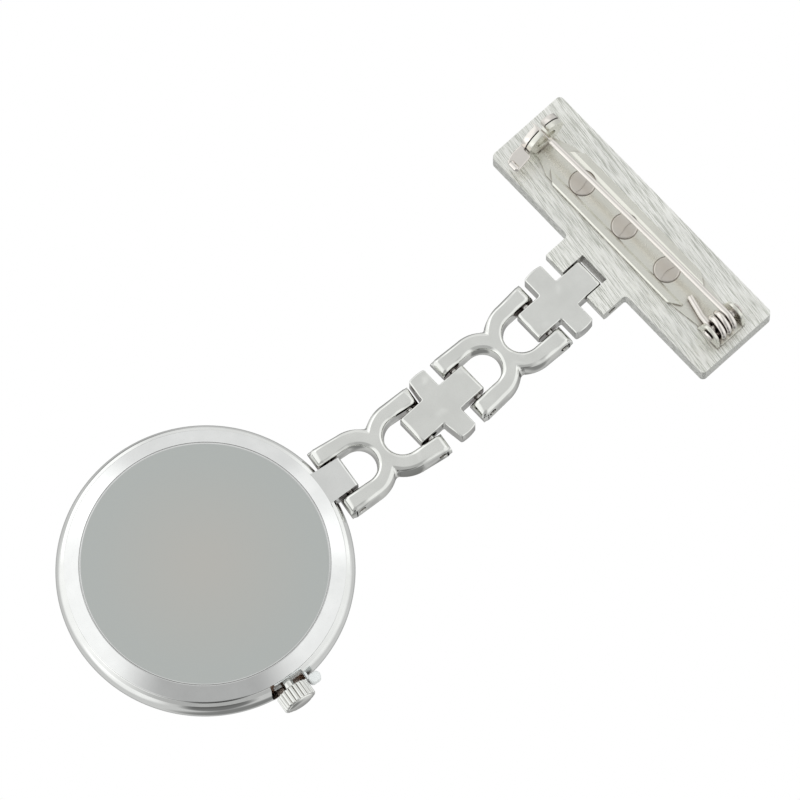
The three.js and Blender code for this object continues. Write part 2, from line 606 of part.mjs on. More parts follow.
function centreWheel() {
  const wheel = toothed(64, 3.4 / 36, -0.1, 0.05, CENTRE);
  const tube = arbor(0.5, -2.78, 0, CENTRE, 20);
  const cannon = toothed(12, 0.125, -1.2, -0.95, CENTRE);
  return join(wheel, tube, cannon).subtract(arbor(0.22, -4, 1, CENTRE, 14));
}

function minuteWheel() {
  const wheel = toothed(36, 0.125, -1.2, -1.02, MINUTE_POST);
  return join(wheel, toothed(10, 0.12, -1.42, -1.15, MINUTE_POST), arbor(0.2, -1.5, -0.3, MINUTE_POST));
}

function hourWheel() {
  const wheel = toothed(40, 0.12, -1.42, -1.27, CENTRE);
  return join(wheel, arbor(0.84, -2.42, -1.3, CENTRE, 24)).subtract(arbor(0.56, -4, 1, CENTRE, 20));
}

// Hands point to their hour, minute and second on a dial whose twelve is at the bottom; angles turn from
// +Z towards +X.
function hand(points, bossRadius, boreRadius, low, high, degrees) {
  const blade = join(flat(outline(points), low, high), arbor(bossRadius, low, high, CENTRE, 16));
  return blade.subtract(arbor(boreRadius, -6, 2, CENTRE, 14)).rotate([0, degrees, 0]);
}

function hourHand() {
  return hand([[-0.45, 0], [-0.55, 4.2], [0, 6.4], [0.55, 4.2], [0.45, 0]], 1.25, 0.86, -2.4, -2.25, -125);
}

function minuteHand() {
  return hand([[-0.38, 0], [-0.45, 6.8], [0, 9.6], [0.45, 6.8], [0.38, 0]], 1.0, 0.52, -2.75, -2.6, 120);
}

function secondHand() {
  return hand([[-0.16, -2.8], [-0.07, 9.8], [0.07, 9.8], [0.16, -2.8]], 0.7, 0.18, -3.08, -2.98, 30);
}

// Crown: a fluted barrel with a smooth flat cap, bored to clear the tube and take the stem.
function crown() {
  const flutes = 20;
  const points = [];
  for (let i = 0; i < 2 * flutes; i += 1) {
    const angle = (i * Math.PI) / flutes;
    const radius = i % 2 === 0 ? CROWN_RADIUS : CROWN_RADIUS - 0.16;
    points.push([radius * Math.cos(angle), radius * Math.sin(angle)]);
  }
  const barrel = side(outline(points), -CROWN_EDGE, -CROWN_INNER);
  const cap = bar("x", 1.5, -CROWN_OUTER, -CROWN_EDGE + 0.2, [0, 0], 32);
  const tubeBore = bar("x", 0.85, -CROWN_INNER - 0.9, 0, [0, 0], 24);
  const stemBore = bar("x", STEM_RADIUS + 0.01, -STEM_END, 0, [0, 0], 16);
  return join(barrel, cap).subtract(tubeBore).subtract(stemBore);
}

function crownStem() {
  const wire = bar("x", STEM_RADIUS, 0.02 - STEM_END, -6.8, [0, 0], 16);
  return join(wire, bar("x", 0.55, -8.0, -6.9, [0, 0], 16));
}

function crownTube() {
  const tube = bar("x", TUBE_RADIUS, -14.9, -12.3, [0, 0], 20);
  return tube.subtract(bar("x", 0.38, -20, 0, [0, 0], 16));
}

function crownGasket() {
  const seal = bar("x", 0.83, -CROWN_INNER - 0.5, -CROWN_INNER - 0.1, [0, 0], 20);
  return seal.subtract(bar("x", 0.65, -20, 0, [0, 0], 20));
}

// Crown stop: a shipping clip whose fork straddles the tube in the pocket, with a finger tab outside.
function crownStopClip() {
  const fork = box(-14.1, -13.75, -1.2, 1.05, -1.3, 1.5);
  const mouth = box(-16, -13, -0.66, 0.66, -2, 0.2);
  const throat = bar("x", 0.66, -16, -13, [0, 0.2], 20);
  const root = box(-14.1, -13.75, -0.35, 0.35, 1.4, 2.1);
  const neck = box(-15.1, -13.75, -0.35, 0.35, 1.87, 2.1);
  const tab = new RoundedBoxGeometry(1.1, 1.2, 1.3, 2, 0.4).translate(-15.5, 0, 2.55);
  return join(fork.subtract(mouth).subtract(throat), root, neck, solid(tab));
}

piece(watch, "brooch_plate", broochPlate(), brushedSteel);
piece(watch, "pin_base", pinBase(), nickel);
RIVET_XS.forEach((x, i) => piece(watch, `base_rivet_${i + 1}`, baseRivet(x), nickel));
piece(watch, "hinge_rivet", hingeRivet(), nickel);
piece(watch, "brooch_pin", pinWire(), nickel);
piece(watch, "catch_lock", catchLock(), nickel);
piece(watch, "cross_link_upper", crossLink(CROSS_1_Z), polishedSteel);
piece(watch, "bow_link_upper", bowLink(BOW_1_Z), polishedSteel);
piece(watch, "cross_link_lower", lowerCrossLink(CROSS_2_Z), polishedSteel);
piece(hanging, "bow_link_lower", bowLink(BOW_2_Z), polishedSteel);
piece(watch, "link_pin_1", linkPin(FIRST_PIN_Z, TAB_WIDTH), polishedSteel);
piece(watch, "link_pin_2", linkPin(CROSS_1_Z - CROSS_HALF, BOW_WIDTH), polishedSteel);
piece(watch, "link_pin_3", linkPin(CROSS_2_Z + CROSS_HALF, BOW_WIDTH), polishedSteel);
piece(hanging, "link_pin_4", linkPin(PLAY_PIN_Z, BOW_WIDTH), polishedSteel);
piece(hanging, "link_pin_5", linkPin(LUG_PIN_Z, BOW_WIDTH), polishedSteel);

piece(head, "case_body", caseBody(), polishedSteel);
piece(head, "case_back", caseBack(), satinSteel);
piece(head, "case_back_gasket", ring(12.5, 13.1, RECESS_FLOOR + 0.02, 0.85), blackRubber);
piece(head, "bezel", bezel(), polishedSteel);
piece(head, "crystal", crystal(), glass);
piece(head, "crystal_gasket", ring(12.02, 12.57, -4.2, -3.28), whitePlastic);
piece(head, "dial", dial(), dialPaint);
piece(head, "movement_holder", movementHolder(), whitePlastic);
piece(head, "main_plate", mainPlate(), brass);
piece(head, "train_bridge", trainBridge(), darkSteel);
PILLARS.forEach((at, i) => piece(head, `bridge_screw_${i + 1}`, screw(at, 1.05), darkSteel));
piece(head, "battery", battery(), satinSteel);
piece(head, "battery_clamp", batteryClamp(), brass);
piece(head, "clamp_screw", screw(CLAMP_POST, CLAMP_TOP), darkSteel);
piece(head, "circuit_board", circuitBoard(), greenBoard);
piece(head, "quartz_can", quartzCan(), satinSteel);
piece(head, "stator", stator(), darkSteel);
piece(head, "coil_core", coilCore(), darkSteel);
piece(head, "coil", coil(), copper);
piece(head, "rotor", rotor(), darkSteel);
piece(head, "intermediate_wheel", intermediateWheel(), whitePlastic);
piece(head, "second_wheel", secondWheel(), brass);
piece(head, "third_wheel", thirdWheel(), brass);
piece(head, "centre_wheel", centreWheel(), brass);
piece(head, "minute_wheel", minuteWheel(), brass);
piece(head, "hour_wheel", hourWheel(), brass);
piece(head, "hour_hand", hourHand(), blackPaint);
piece(head, "minute_hand", minuteHand(), blackPaint);
piece(head, "second_hand", secondHand(), redPaint);
piece(head, "crown", crown(), polishedSteel);
piece(head, "crown_stem", crownStem(), darkSteel);
piece(head, "crown_tube", crownTube(), polishedSteel);
piece(head, "crown_gasket", crownGasket(), blackRubber);
piece(head, "crown_stop_clip", crownStopClip(), clearPlastic);

export default watch;
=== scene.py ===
"""A fob watch: a brushed brooch plate with a safety pin, a polished chain and a quartz watch head.

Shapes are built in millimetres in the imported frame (+Z up, dial to -Y, garment side to +Y) and then turned
into metres. Everything below the chain's loose pin is built hanging straight, and is then leaned into its
rest place.
"""

import json
import math

import bmesh
import bpy
import numpy as np
from mathutils import Matrix, Vector

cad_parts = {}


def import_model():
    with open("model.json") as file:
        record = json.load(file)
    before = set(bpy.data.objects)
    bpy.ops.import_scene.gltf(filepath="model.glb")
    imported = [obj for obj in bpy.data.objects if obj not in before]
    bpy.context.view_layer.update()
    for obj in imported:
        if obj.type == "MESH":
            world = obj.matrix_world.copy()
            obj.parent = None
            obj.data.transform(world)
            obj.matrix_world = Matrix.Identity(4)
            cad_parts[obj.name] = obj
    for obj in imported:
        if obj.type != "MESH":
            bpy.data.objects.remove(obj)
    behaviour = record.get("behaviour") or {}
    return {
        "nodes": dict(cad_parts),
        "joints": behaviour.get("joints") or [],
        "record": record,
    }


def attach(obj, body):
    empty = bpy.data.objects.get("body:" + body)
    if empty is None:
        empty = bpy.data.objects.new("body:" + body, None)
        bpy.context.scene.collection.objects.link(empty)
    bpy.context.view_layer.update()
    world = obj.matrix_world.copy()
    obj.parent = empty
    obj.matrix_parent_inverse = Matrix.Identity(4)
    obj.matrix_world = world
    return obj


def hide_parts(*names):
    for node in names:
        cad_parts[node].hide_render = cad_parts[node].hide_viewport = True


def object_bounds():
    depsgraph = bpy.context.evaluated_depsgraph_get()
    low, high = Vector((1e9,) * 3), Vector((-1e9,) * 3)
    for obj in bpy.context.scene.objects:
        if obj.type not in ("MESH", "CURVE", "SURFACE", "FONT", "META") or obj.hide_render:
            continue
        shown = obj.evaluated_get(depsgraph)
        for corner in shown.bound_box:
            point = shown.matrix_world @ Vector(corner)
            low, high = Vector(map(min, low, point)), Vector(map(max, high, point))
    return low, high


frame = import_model()
CAD_LOW, CAD_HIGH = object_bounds()
JOINTS = {joint["name"]: joint for joint in frame["joints"]}
MOUNTS = {mount["name"]: mount for mount in frame["record"]["mounts"]}
METRES = 0.001


def joint_point(name):
    """A joint's place in millimetres."""
    return Vector(JOINTS[name]["pos_m"]) / METRES


# The garment side of the plate, the chain's pins, and the lean of everything below the loose pin.
HINGE_Y = joint_point("link_hinge_1").y
FACE_Y = MOUNTS["garment_face"]["pos_m"][1] / METRES
PIN_1 = joint_point("link_hinge_1").z
PIN_2 = joint_point("link_hinge_2").z
PIN_3 = joint_point("link_hinge_3").z
PIN_4 = joint_point("loose_pin_play").z
LEAN_AXIS = Vector(JOINTS["watch_hinge"]["axis"])
LEAN = math.atan2(LEAN_AXIS.z, LEAN_AXIS.x)
PIN_5 = PIN_4 - (joint_point("watch_hinge") - joint_point("loose_pin_play")).length
HEAD_Z = PIN_4 - (joint_point("second_spin") - joint_point("loose_pin_play")).length
CROSS_1 = (PIN_1 + PIN_2) / 2
BOW_1 = (PIN_2 + PIN_3) / 2
CROSS_2 = (PIN_3 + PIN_4) / 2
BOW_2 = (PIN_4 + PIN_5) / 2
SPRING = joint_point("pin_hinge")
CATCH = joint_point("catch_turn")
LOOSE_POINT = Vector((0, HINGE_Y, PIN_4))
LEANED = Matrix.Translation(LOOSE_POINT) @ Matrix.Rotation(-LEAN, 4, "Y") @ Matrix.Translation(-LOOSE_POINT)
STRAIGHT = Matrix.Identity(4)

# Driving sizes of the looks, in millimetres.
PLATE_FRONT = FACE_Y - 2.4
PLATE_HALF_X = 15.6
PLATE_HALF_Z = 4.75
PLATE_CORNER = 0.5
TAB_HALF_X = 4.25
TAB_FRONT = HINGE_Y - 1.06
TAB_END = PIN_1 - 1.15
NOTCH_HALF_X = 1.75
LINK_FRONT = PLATE_FRONT
LINK_BACK = HINGE_Y + 0.98
LINK_FRONT_ROLL = 0.75
CROSS_REACH = (PIN_1 - PIN_2) / 2
BOW_REACH = (PIN_2 - PIN_3) / 2
PIN_RADIUS = 0.4
PIN_BORE = 0.46
PIN_HALF = 3.78
TAB_PIN_HALF = 4.12
RIVET_XS = (7.2, 1.0, -5.2)
RIVET_RADIUS = 1.29

# Sizes of the head, measured from its middle. Depths are along Y and the crown lies along -X.
DISC_RADIUS = 12.38
DISC_BACK = 2.1
DIAL_FRONT = -1.95
POCKET_RADIUS = 2.05
POCKET_FLOOR = -13.6
CROWN_INNER = -15.15
CROWN_OUTER = -17.02

# How many sides large and small round things have, and how far a cutting tool runs past what it cuts.
ROUND = 192
ROD_ROUND = 40
PAST = 9.0


# ---------------------------------------------------------------- shape helpers, all in millimetres


def new_piece(name, points, faces):
    mesh = bpy.data.meshes.new(name)
    mesh.from_pydata([tuple(p) for p in points], [], [tuple(f) for f in faces])
    mesh.validate()
    mesh.update()
    piece = bpy.data.objects.new(name, mesh)
    bpy.context.scene.collection.objects.link(piece)
    return piece


def bake(piece):
    """Applies every modifier on a piece."""
    graph = bpy.context.evaluated_depsgraph_get()
    mesh = bpy.data.meshes.new_from_object(piece.evaluated_get(graph), depsgraph=graph)
    old = piece.data
    piece.modifiers.clear()
    piece.data = mesh
    bpy.data.meshes.remove(old)
    return piece


def boolean(piece, other, operation):
    step = piece.modifiers.new("boolean", "BOOLEAN")
    step.operation = operation
    step.solver = "MANIFOLD"
    step.object = other
    bake(piece).data.materials.clear()
    bpy.data.objects.remove(other)
    return piece


def cut(piece, *tools):
    for tool in tools:
        boolean(piece, tool, "DIFFERENCE")
    return piece


def join(piece, *others):
    for other in others:
        boolean(piece, other, "UNION")
    return piece


def meet(piece, other):
    return boolean(piece, other, "INTERSECT")


def tidy(piece):
    """Merges stray points and flat slivers that a cut leaves behind."""
    work = bmesh.new()
    work.from_mesh(piece.data)
    bmesh.ops.remove_doubles(work, verts=work.verts, dist=0.004)
    bmesh.ops.dissolve_limit(work, angle_limit=math.radians(0.3), verts=work.verts, edges=work.edges)
    work.to_mesh(piece.data)
    work.free()
    return piece


def soften(piece, width, segments=3, angle=35, upright=True):
    """Rounds the edges that are sharper than an angle in degrees. Edges parallel to Y can be left alone."""
    work = bmesh.new()
    work.from_mesh(tidy(piece).data)
    layer = work.edges.layers.float.new("bevel_weight_edge")
    for edge in work.edges:
        along = (edge.verts[0].co - edge.verts[1].co).normalized()
        sharp = len(edge.link_faces) == 2 and edge.calc_face_angle() > math.radians(angle)
        edge[layer] = 1.0 if sharp and (upright or abs(along.y) < 0.99) else 0.0
    work.to_mesh(piece.data)
    work.free()
    step = piece.modifiers.new("soften", "BEVEL")
    step.use_clamp_overlap = upright
    step.width = width
    step.segments = segments
    step.limit_method = "WEIGHT"
    step.miter_outer = "MITER_ARC" if upright else "MITER_SHARP"
    return bake(piece)


def arc(centre, radius, start, end, steps=16):
    """Points on an arc, in degrees."""
    angles = [math.radians(start + (end - start) * i / steps) for i in range(steps + 1)]
    return [(centre[0] + radius * math.cos(a), centre[1] + radius * math.sin(a)) for a in angles]


def rounded(corners, radii, steps=6):
    """A closed outline with its corners rounded. A radius of 0 leaves a corner sharp."""
    points = []
    count = len(corners)
    for i, corner in enumerate(corners):
        radius = radii if isinstance(radii, (int, float)) else radii[i]
        here = Vector(corner)
        before = (Vector(corners[i - 1]) - here).normalized()
        after = (Vector(corners[(i + 1) % count]) - here).normalized()
        half = before.angle(after) / 2
        if radius == 0 or half > math.pi / 2 - 0.01:
            points.append(tuple(here))
            continue
        reach = radius / math.tan(half)
        centre = here + (before + after).normalized() * (radius / math.sin(half))
        start = here + before * reach - centre
        end = here + after * reach - centre
        turn = start.angle_signed(end)
        for k in range(steps + 1):
            spoke = start.copy()
            spoke.rotate(Matrix.Rotation(-turn * k / steps, 2))
            points.append(tuple(centre + spoke))
    return points


def prism_faces(count):
    faces = [tuple(range(count)), tuple(reversed(range(count, 2 * count)))]
    return faces + [(i, i + count, (i + 1) % count + count, (i + 1) % count) for i in range(count)]


def prism(name, outline, low, high, far=None):
    """An outline in X and Z pushed from one Y to another, or tapered to a second outline there."""
    count = len(outline)
    points = [(x, low, z) for x, z in outline] + [(x, high, z) for x, z in far or outline]
    return outward(new_piece(name, points, prism_faces(count)))


def side_prism(name, outline, low, high):
    """An outline in Y and Z pushed from one X to another."""
    count = len(outline)
    points = [(low, y, z) for y, z in outline] + [(high, y, z) for y, z in outline]
    return outward(new_piece(name, points, prism_faces(count)))


def lying_prism(name, outline, low, high):
    """An outline in X and Y pushed from one Z to another."""
    count = len(outline)
    points = [(x, y, low) for x, y in outline] + [(x, y, high) for x, y in outline]
    return outward(new_piece(name, points, prism_faces(count)))


def outward(piece):
    """Turns every face to look out."""
    work = bmesh.new()
    work.from_mesh(piece.data)
    bmesh.ops.recalc_face_normals(work, faces=work.faces)
    work.to_mesh(piece.data)
    work.free()
    return piece


def block(name, low, high):
    """A box between two corners, as a tool or as stock to be softened."""
    corners = [(low[0], low[2]), (high[0], low[2]), (high[0], high[2]), (low[0], high[2])]
    return prism(name, corners, low[1], high[1])


def turned(name, profile, segments=ROUND, centre=(0.0, 0.0, 0.0), axis="Y"):
    """Turns a closed [radius, along] profile about an axis through a centre."""
    points, rings = [], []
    for radius, along in profile:
        if radius < 1e-6:
            rings.append([len(points)] * segments)
            points.append((0, along, 0))
            continue
        rings.append(list(range(len(points), len(points) + segments)))
        for k in range(segments):
            angle = 2 * math.pi * k / segments
            points.append((radius * math.cos(angle), along, radius * math.sin(angle)))
    faces = []
    count = len(profile)
    for i in range(count):
        a, b = rings[i], rings[(i + 1) % count]
        if a[0] == a[-1] and b[0] == b[-1]:
            continue
        for k in range(segments):
            n = (k + 1) % segments
            face = []
            for vertex in (a[k], a[n], b[n], b[k]):
                if vertex not in face:
                    face.append(vertex)
            faces.append(face)
    piece = outward(new_piece(name, points, faces))
    turn = {
        "X": Matrix.Rotation(-math.pi / 2, 4, "Z"),
        "Y": Matrix.Identity(4),
        "Z": Matrix.Rotation(math.pi / 2, 4, "X"),
    }
    piece.data.transform(Matrix.Translation(Vector(centre)) @ turn[axis])
    return piece


def rod(name, radius, low, high, centre, axis, chamfer=0.06):
    """A round rod with softened ends; its ends are distances along the axis."""
    profile = [(0, low), (radius - chamfer, low), (radius, low + chamfer)]
    profile += [(radius, high - chamfer), (radius - chamfer, high), (0, high)]
    return turned(name, profile, ROD_ROUND, centre, axis)


def sweep(name, path, radii, sides):
    """A round wire along a path, closed at both ends, with no twist."""
    path = [Vector(p) for p in path]
    points, faces = [], []
    tangent = (path[1] - path[0]).normalized()
    across = tangent.orthogonal().normalized()
    for i, here in enumerate(path):
        ahead = path[min(i + 1, len(path) - 1)] - path[max(i - 1, 0)]
        ahead.normalize()
        across = (across - ahead * across.dot(ahead)).normalized()
        other = ahead.cross(across)
        for k in range(sides):
            angle = 2 * math.pi * k / sides
            points.append(here + (across * math.cos(angle) + other * math.sin(angle)) * radii[i])
    for i in range(len(path) - 1):
        for k in range(sides):
            n = (k + 1) % sides
            faces.append((i * sides + k, i * sides + n, (i + 1) * sides + n, (i + 1) * sides + k))
    faces.append(tuple(reversed(range(sides))))
    faces.append(tuple(range((len(path) - 1) * sides, len(path) * sides)))
    return outward(new_piece(name, points, faces))


def settle(piece, body, nodes, material, slot, place=STRAIGHT, smooth=32):
    """Places a piece in the frame in metres, shades it, and makes it ride."""
    piece.data.transform(Matrix.Scale(METRES, 4) @ place)
    piece.data.shade_smooth()
    piece.data.set_sharp_from_angle(angle=math.radians(smooth))
    if not piece.data.materials:
        piece.data.materials.append(material)
    weigh = piece.modifiers.new("weigh", "WEIGHTED_NORMAL")
    weigh.keep_sharp = True
    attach(piece, body)
    if nodes:
        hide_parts(*nodes)
    return piece


# ---------------------------------------------------------------- materials


class Paint:
    """Builds one procedural material with short calls."""

    def __init__(self, name):
        self.material = bpy.data.materials.new(name)
        self.material.use_nodes = True
        self.nodes = self.material.node_tree.nodes
        self.links = self.material.node_tree.links
        self.surface = self.nodes["Principled BSDF"]
        self.place = self.nodes.new("ShaderNodeTexCoord").outputs["Object"]

    def node(self, kind, values=None, **options):
        made = self.nodes.new("ShaderNode" + kind)
        for key, value in options.items():
            setattr(made, key, value)
        for key, value in (values or {}).items():
            if isinstance(value, bpy.types.NodeSocket):
                self.links.new(value, made.inputs[key])
            else:
                made.inputs[key].default_value = value
        return made

    def stretched(self, scale, turn=0.0):
        """Object coordinates in millimetres, turned about Y, then stretched by a scale on each axis."""
        angle = math.radians(turn)
        values = {"Vector": self.place, "Angle": angle}
        source = self.node("VectorRotate", values, rotation_type="Y_AXIS").outputs["Vector"]
        mapping = self.node("Mapping", {"Vector": source, "Scale": [s / METRES for s in scale]})
        return mapping.outputs["Vector"]

    def noise(self, vector, scale=1.0, detail=3.0, rough=0.5):
        values = {"Vector": vector, "Scale": scale, "Detail": detail, "Roughness": rough}
        return self.node("TexNoise", values).outputs["Fac"]

    def ramp(self, factor, low, high, to_low, to_high):
        made = self.node("MapRange", {"Value": factor, 1: low, 2: high, 3: to_low, 4: to_high})
        return made.outputs["Result"]

    def crevice(self, color, tarnish_and_shade, reach, low=0.3, high=0.8):
        """Painted shade, with tarnish: darkens a colour towards a brown tone where neighbouring surfaces
        close in on it within a reach in millimetres.
        """
        made = self.node("AmbientOcclusion", {"Distance": reach * METRES}, samples=16)
        return self.mix(self.ramp(made.outputs["AO"], low, high, 0, 1), tarnish_and_shade, color)

    def mix(self, factor, first, second):
        """Blends two colours, each given as numbers or as a socket."""
        made = self.nodes.new("ShaderNodeMix")
        made.data_type = "RGBA"
        self.links.new(factor, made.inputs["Factor"])
        for place, color in ((6, first), (7, second)):
            if isinstance(color, bpy.types.NodeSocket):
                self.links.new(color, made.inputs[place])
            else:
                made.inputs[place].default_value = (*color, 1)
        return made.outputs[2]

    def bump(self, height, strength, distance):
        made = self.node("Bump", {"Height": height, "Strength": strength, "Distance": distance * METRES})
        self.links.new(made.outputs["Normal"], self.surface.inputs["Normal"])

    def set(self, **values):
        for key, value in values.items():
            socket = self.surface.inputs[key.replace("_", " ")]
            if isinstance(value, bpy.types.NodeSocket):
                self.links.new(value, socket)
            else:
                is_color = isinstance(value, tuple) and len(value) == 3
                socket.default_value = (*value, 1) if is_color else value


def brushed_plate():
    """Fine bright strokes a few degrees off the long edge, over broader bands, fainter in patches."""
    brushing = 7.0
    waviness = 0.03
    dark, light = (0.62, 0.63, 0.58), (1.0, 1.0, 0.965)
    paint = Paint("brushed_plate")
    drift = paint.noise(paint.stretched((0.3, 0.3, 0.3)), 1.0, 2.0)
    along = paint.stretched((0.6, 8.0, 20.0), brushing)
    wave = paint.node("MixRGB", {"Fac": waviness, "Color1": along, "Color2": drift})
    strokes = paint.noise(wave.outputs["Color"], 1.0, 1.0, 0.5)
    broad = paint.noise(paint.stretched((0.3, 4.0, 8.0), brushing), 1.0, 1.0, 0.5)
    patches = paint.ramp(paint.noise(paint.stretched((0.16, 0.16, 0.2)), 1.0, 2.0), 0.35, 0.6, 0.45, 1.0)
    both = paint.node("Math", {0: broad, 1: 0.3, 2: strokes}, operation="MULTIPLY_ADD").outputs["Value"]
    raised = paint.node("Math", {0: both, 1: patches}, operation="MULTIPLY").outputs["Value"]
    color = paint.mix(paint.ramp(both, 0.53, 0.7, 0, 1), dark, light)
    paint.set(
        # Painted shade: the plate darkens towards grey-brown where neighbouring surfaces close in.
        Base_Color=paint.crevice(color, (0.22, 0.20, 0.18), 0.8, 0.2, 0.62),
        Metallic=1.0,
        Roughness=paint.ramp(both, 0.5, 1.0, 0.26, 0.4),
    )
    paint.bump(raised, 0.7, 0.06)
    return paint.material


def polished(
    name,
    color,
    low=0.05,
    high=0.12,
    grain=0.0004,
    tarnish_and_shade=(0.10, 0.085, 0.075),
    sway=0.0,
    reach=0.55,
    rim=0.0,
    open_at=0.6,
):
    """Plated metal: a mirror with faint haze and marks, with painted brown shade (and tarnish) in its
    crevices and a painted dark reflection where it turns away.

    low and high bound its roughness. grain is the marks' height and sway the slow waves' height, reach is
    how far its painted crevice shade looks for neighbours, all in mm. rim is how dark the painted reflection
    gets edge on, and open_at is the openness at which the painted crevice shade ends.
    """
    paint = Paint(name)
    haze = paint.noise(paint.stretched((0.35, 0.35, 0.35)), 1.0, 5.0, 0.6)
    marks = paint.noise(paint.stretched((6, 6, 6)), 1.0, 2.0, 0.5)
    dull = tuple(0.93 * c for c in color)
    plain = paint.mix(paint.ramp(haze, 0.35, 0.65, 0, 1), dull, color)
    # Painted dark reflection: the colour turns towards the brown tone where the surface is seen edge on.
    facing = paint.node("LayerWeight", {"Blend": 0.5}).outputs["Facing"]
    plain = paint.mix(paint.ramp(facing, 0.6, 0.96, 0, rim), plain, tarnish_and_shade)
    paint.set(
        # Painted crevice shade over that, brown like tarnish.
        Base_Color=paint.crevice(plain, tarnish_and_shade, reach, 0.18, open_at),
        Metallic=1.0,
        Roughness=paint.ramp(haze, 0.35, 0.7, low, high),
    )
    slow = paint.noise(paint.stretched((0.28, 0.28, 0.28)), 1.0, 1.0, 0.4)
    waves = paint.node("Math", {0: slow, 1: sway}, operation="MULTIPLY").outputs["Value"]
    height = paint.node("Math", {0: marks, 1: grain, 2: waves}, operation="MULTIPLY_ADD").outputs["Value"]
    paint.bump(height, 1.0, 1.0)
    return paint.material


def satin_disc():
    """The case back's flat disc: very fine satin, its tint a little warmer towards the centre."""
    paint = Paint("satin_disc")
    centre = joint_point("second_spin") * METRES
    away = paint.node("VectorMath", {0: paint.place, 1: centre}, operation="DISTANCE").outputs["Value"]
    warm = paint.ramp(away, 0.002, 0.011, 1.0, 0.0)
    tint = paint.mix(warm, (0.60, 0.625, 0.612), (0.64, 0.63, 0.60))
    grain = paint.noise(paint.stretched((14, 14, 14)), 1.0, 2.0, 0.6)
    paint.set(Base_Color=tint, Metallic=1.0, Roughness=paint.ramp(grain, 0.0, 1.0, 0.26, 0.34))
    return paint.material


def plastic(name, color, roughness):
    paint = Paint(name)
    grain = paint.noise(paint.stretched((5, 5, 5)), 1.0, 3.0, 0.55)
    deep = tuple(0.94 * c for c in color)
    paint.set(
        Base_Color=paint.mix(grain, deep, color),
        Roughness=paint.ramp(grain, 0.3, 0.7, roughness * 0.85, roughness * 1.15),
    )
    paint.bump(grain, 0.15, 0.01)
    return paint.material


def lacquer(name, color, roughness):
    """Paint on metal, with a little orange peel."""
    paint = Paint(name)
    peel = paint.noise(paint.stretched((3, 3, 3)), 1.0, 2.0, 0.5)
    deep = tuple(0.95 * c for c in color)
    paint.set(Base_Color=paint.mix(peel, deep, color), Roughness=roughness, Coat_Weight=0.4)
    paint.bump(peel, 0.08, 0.01)
    return paint.material


def clear_glass():
    """Clear mineral glass that lets soft light through to the dial."""
    paint = Paint("clear_glass")
    smear = paint.noise(paint.stretched((0.2, 0.2, 0.2)), 1.0, 2.0, 0.5)
    paint.set(
        Base_Color=paint.mix(smear, (0.985, 0.995, 0.99), (1.0, 1.0, 1.0)),
        Roughness=paint.ramp(smear, 0.3, 0.7, 0.0, 0.02),
        Transmission_Weight=1.0,
        IOR=1.45,
    )
    rays = paint.node("LightPath").outputs
    soft_rays = {0: rays["Is Shadow Ray"], 1: rays["Is Diffuse Ray"]}
    passing = paint.node("Math", soft_rays, operation="MAXIMUM").outputs["Value"]
    open_glass = paint.node("BsdfTransparent").outputs["BSDF"]
    both = paint.node("MixShader", {0: passing, 1: paint.surface.outputs["BSDF"], 2: open_glass})
    paint.links.new(both.outputs["Shader"], paint.nodes["Material Output"].inputs["Surface"])
    return paint.material


PLATE = brushed_plate()
# In the metals below, the darkest colour given is the brown of the painted crevice shade and of the painted
# edge-on reflection; it stands for tarnish too.
CHROME = polished(
    "polished_chrome", (0.865, 0.87, 0.845), tarnish_and_shade=(0.09, 0.055, 0.045), sway=0.65, reach=0.8, rim=0.6
)
CASE = polished("polished_case", (0.88, 0.885, 0.875))
# A darker, browner copy of the case metal: painted shade for the crown's pocket.
POCKET_SHADE = polished("pocket_painted_shade", (0.50, 0.41, 0.36), 0.12, 0.25, reach=0.2)
BEVEL = polished("polished_bevel", (0.88, 0.885, 0.885), 0.03, 0.08)
NICKEL = polished(
    "nickel", (0.88, 0.84, 0.80), 0.07, 0.15, 0.0008, (0.05, 0.025, 0.018), reach=1.1, rim=0.9
)
NICKEL_BASE = polished(
    "nickel_base", (0.84, 0.835, 0.77), 0.2, 0.32, 0.0005, (0.14, 0.09, 0.06), reach=0.8, open_at=0.9
)
RIVET = polished("rivet_head", (0.72, 0.68, 0.63), 0.28, 0.42, 0.003, (0.10, 0.05, 0.035))
SATIN = satin_disc()
BRASS = polished("movement_brass", (0.78, 0.62, 0.33), 0.25, 0.4)
STEEL = polished("movement_steel", (0.55, 0.56, 0.57), 0.25, 0.4)
COPPER = polished("copper_wire", (0.72, 0.38, 0.2), 0.25, 0.4)
GLASS = clear_glass()
WHITE_PLASTIC = plastic("white_plastic", (0.9, 0.9, 0.89), 0.45)
CLIP_PLASTIC = plastic("clip_plastic", (0.80, 0.83, 0.83), 0.3)
RUBBER = plastic("black_rubber", (0.03, 0.03, 0.03), 0.7)
BOARD = plastic("board", (0.05, 0.2, 0.08), 0.4)
DIAL_WHITE = lacquer("dial_white", (0.93, 0.93, 0.91), 0.35)
INK = lacquer("ink", (0.012, 0.012, 0.014), 0.3)
RED = lacquer("red_lacquer", (0.6, 0.02, 0.02), 0.3)


# ---------------------------------------------------------------- brooch


